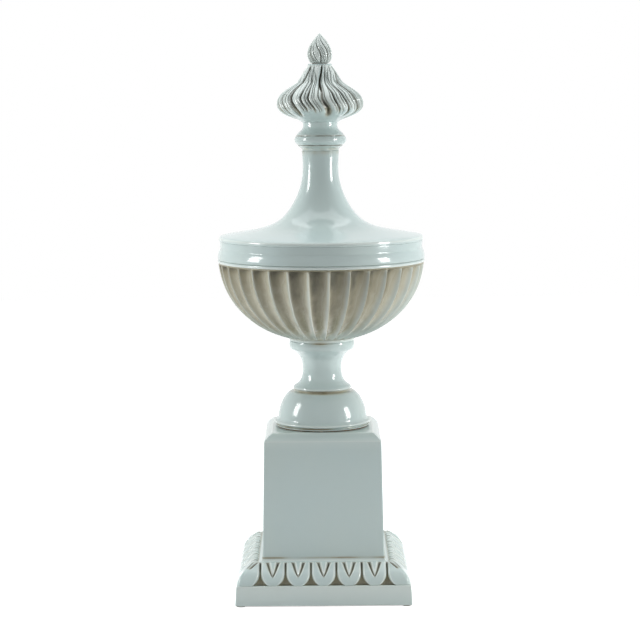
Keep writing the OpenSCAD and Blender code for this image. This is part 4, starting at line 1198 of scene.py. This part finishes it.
# Carried-over nodes keep their shape and get their finish
for finish, nodes in ((cork, ("plinth_cork", "foot_cork", "bowl_cork", "collar_cork", "swirl_cork",
                              "bud_cork")),
                      (felt, ("felt_pads", "lid_seal")),
                      (brass, ("bud_socket",))):
    for node in nodes:
        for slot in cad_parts[node].material_slots:
            slot.material = finish


# Studio: a white floor, a softbox on each side and a broad one above and behind
def sees_white(tree):
    """1 for rays from the camera and for those that something glossy or clear sends on, 0 for all others."""
    path = add(tree, "ShaderNodeLightPath").outputs
    seen = add(tree, "ShaderNodeMath", {0: path["Is Camera Ray"], 1: path["Is Glossy Ray"]},
               operation="MAXIMUM").outputs[0]
    return add(tree, "ShaderNodeMath", {0: seen, 1: path["Is Transmission Ray"]},
               operation="MAXIMUM").outputs[0]


def backdrop_material():
    """Matt white paper that the camera, and what mirrors it, see at full white, less the object's shadow."""
    material, tree, shader, _ = new_material("white_paper")
    shader.inputs["Base Color"].default_value = srgb("#F2F2F2")
    shader.inputs["Roughness"].default_value = 1.0
    shader.inputs["Specular IOR Level"].default_value = 0.0
    glow = add(tree, "ShaderNodeEmission", {"Color": (1, 1, 1, 1), "Strength": 0.68})
    none = add(tree, "ShaderNodeEmission", {"Strength": 0.0})
    lift = add(tree, "ShaderNodeMixShader", {0: sees_white(tree), 1: none.outputs[0], 2: glow.outputs[0]})
    both = add(tree, "ShaderNodeAddShader", {0: shader.outputs[0], 1: lift.outputs[0]})
    output = next(node for node in tree.nodes if node.type == "OUTPUT_MATERIAL")
    tree.links.new(both.outputs[0], output.inputs["Surface"])
    return material


floor_half, floor_front, floor_back = 3, -1.25, 4
floor_corners = [(-floor_half, floor_front, 0), (floor_half, floor_front, 0),
                 (floor_half, floor_back, 0), (-floor_half, floor_back, 0)]
floor_mesh = bpy.data.meshes.new("floor")
floor_mesh.from_pydata(floor_corners, [], [(0, 1, 2, 3)])
floor_mesh.materials.append(backdrop_material())
new_object("floor", floor_mesh)


def softbox(name, azimuth, height, distance, width, tall, power, aim_z, colour=(1, 1, 1)):
    """A rectangular lamp aimed at the axis, its azimuth in degrees from the front, positive to the right."""
    lamp = bpy.data.lights.new(name, "AREA")
    lamp.shape = "RECTANGLE"
    lamp.size = width
    lamp.size_y = tall
    lamp.energy = power
    lamp.color = colour
    piece = bpy.data.objects.new(name, lamp)
    bpy.context.scene.collection.objects.link(piece)
    turn = math.radians(azimuth)
    piece.location = (distance * math.sin(turn), -distance * math.cos(turn), height)
    way = Vector((0, 0, aim_z)) - piece.location
    piece.rotation_euler = way.to_track_quat("-Z", "Y").to_euler()


softbox("left_box", azimuth=-77, height=0.95, distance=1.6, width=0.42, tall=0.9, power=17, aim_z=0.95)
softbox("right_box", azimuth=71, height=0.73, distance=1.6, width=0.36, tall=0.66, power=16, aim_z=0.73)
softbox("top_box", azimuth=180, height=2.25, distance=0.32, width=2.4, tall=2.0, power=28, aim_z=0.5,
        colour=(0.95, 1.0, 1.02))

# World: the light is pale from behind and the sides and dim from the camera's side, as in a white tent with
# a dark doorway
world = bpy.data.worlds.new("tent")
bpy.context.scene.world = world
world.use_nodes = True
sky = world.node_tree
sky.nodes.clear()
way = add(sky, "ShaderNodeTexCoord").outputs["Generated"]
depth = add(sky, "ShaderNodeSeparateXYZ", {0: way}).outputs[1]
level = add(sky, "ShaderNodeMapRange", {"Value": depth, "From Min": -0.5, "From Max": 0.5,
                                        "To Min": 0.02, "To Max": 0.71}).outputs[0]
tent = add(sky, "ShaderNodeBackground", {"Color": (1, 1, 1, 1), "Strength": level})
white = add(sky, "ShaderNodeBackground", {"Color": (1, 1, 1, 1), "Strength": 1.0})
both = add(sky, "ShaderNodeMixShader", {0: sees_white(sky), 1: tent.outputs[0], 2: white.outputs[0]})
add(sky, "ShaderNodeOutputWorld", {"Surface": both.outputs[0]})

# Camera: 2.7 m in front and 0.7 m up, looking slightly down, rolled a little as the photograph is
camera_y = -2.688
camera_z = 0.7054
camera_pitch = 6.683
camera_pan = 0.053
camera_roll = -0.45
camera_focal = 105.5
lens = bpy.data.cameras.new("camera")
lens.lens = camera_focal
lens.sensor_width = 36
camera = bpy.data.objects.new("camera", lens)
bpy.context.scene.collection.objects.link(camera)
turned = (Matrix.Rotation(math.radians(camera_pan), 4, "Z")
          @ Matrix.Rotation(math.radians(90 - camera_pitch), 4, "X")
          @ Matrix.Rotation(math.radians(camera_roll), 4, "Z"))
camera.matrix_world = Matrix.Translation((0, camera_y, camera_z)) @ turned
bpy.context.scene.camera = camera
bpy.context.scene.view_settings.view_transform = "Standard"
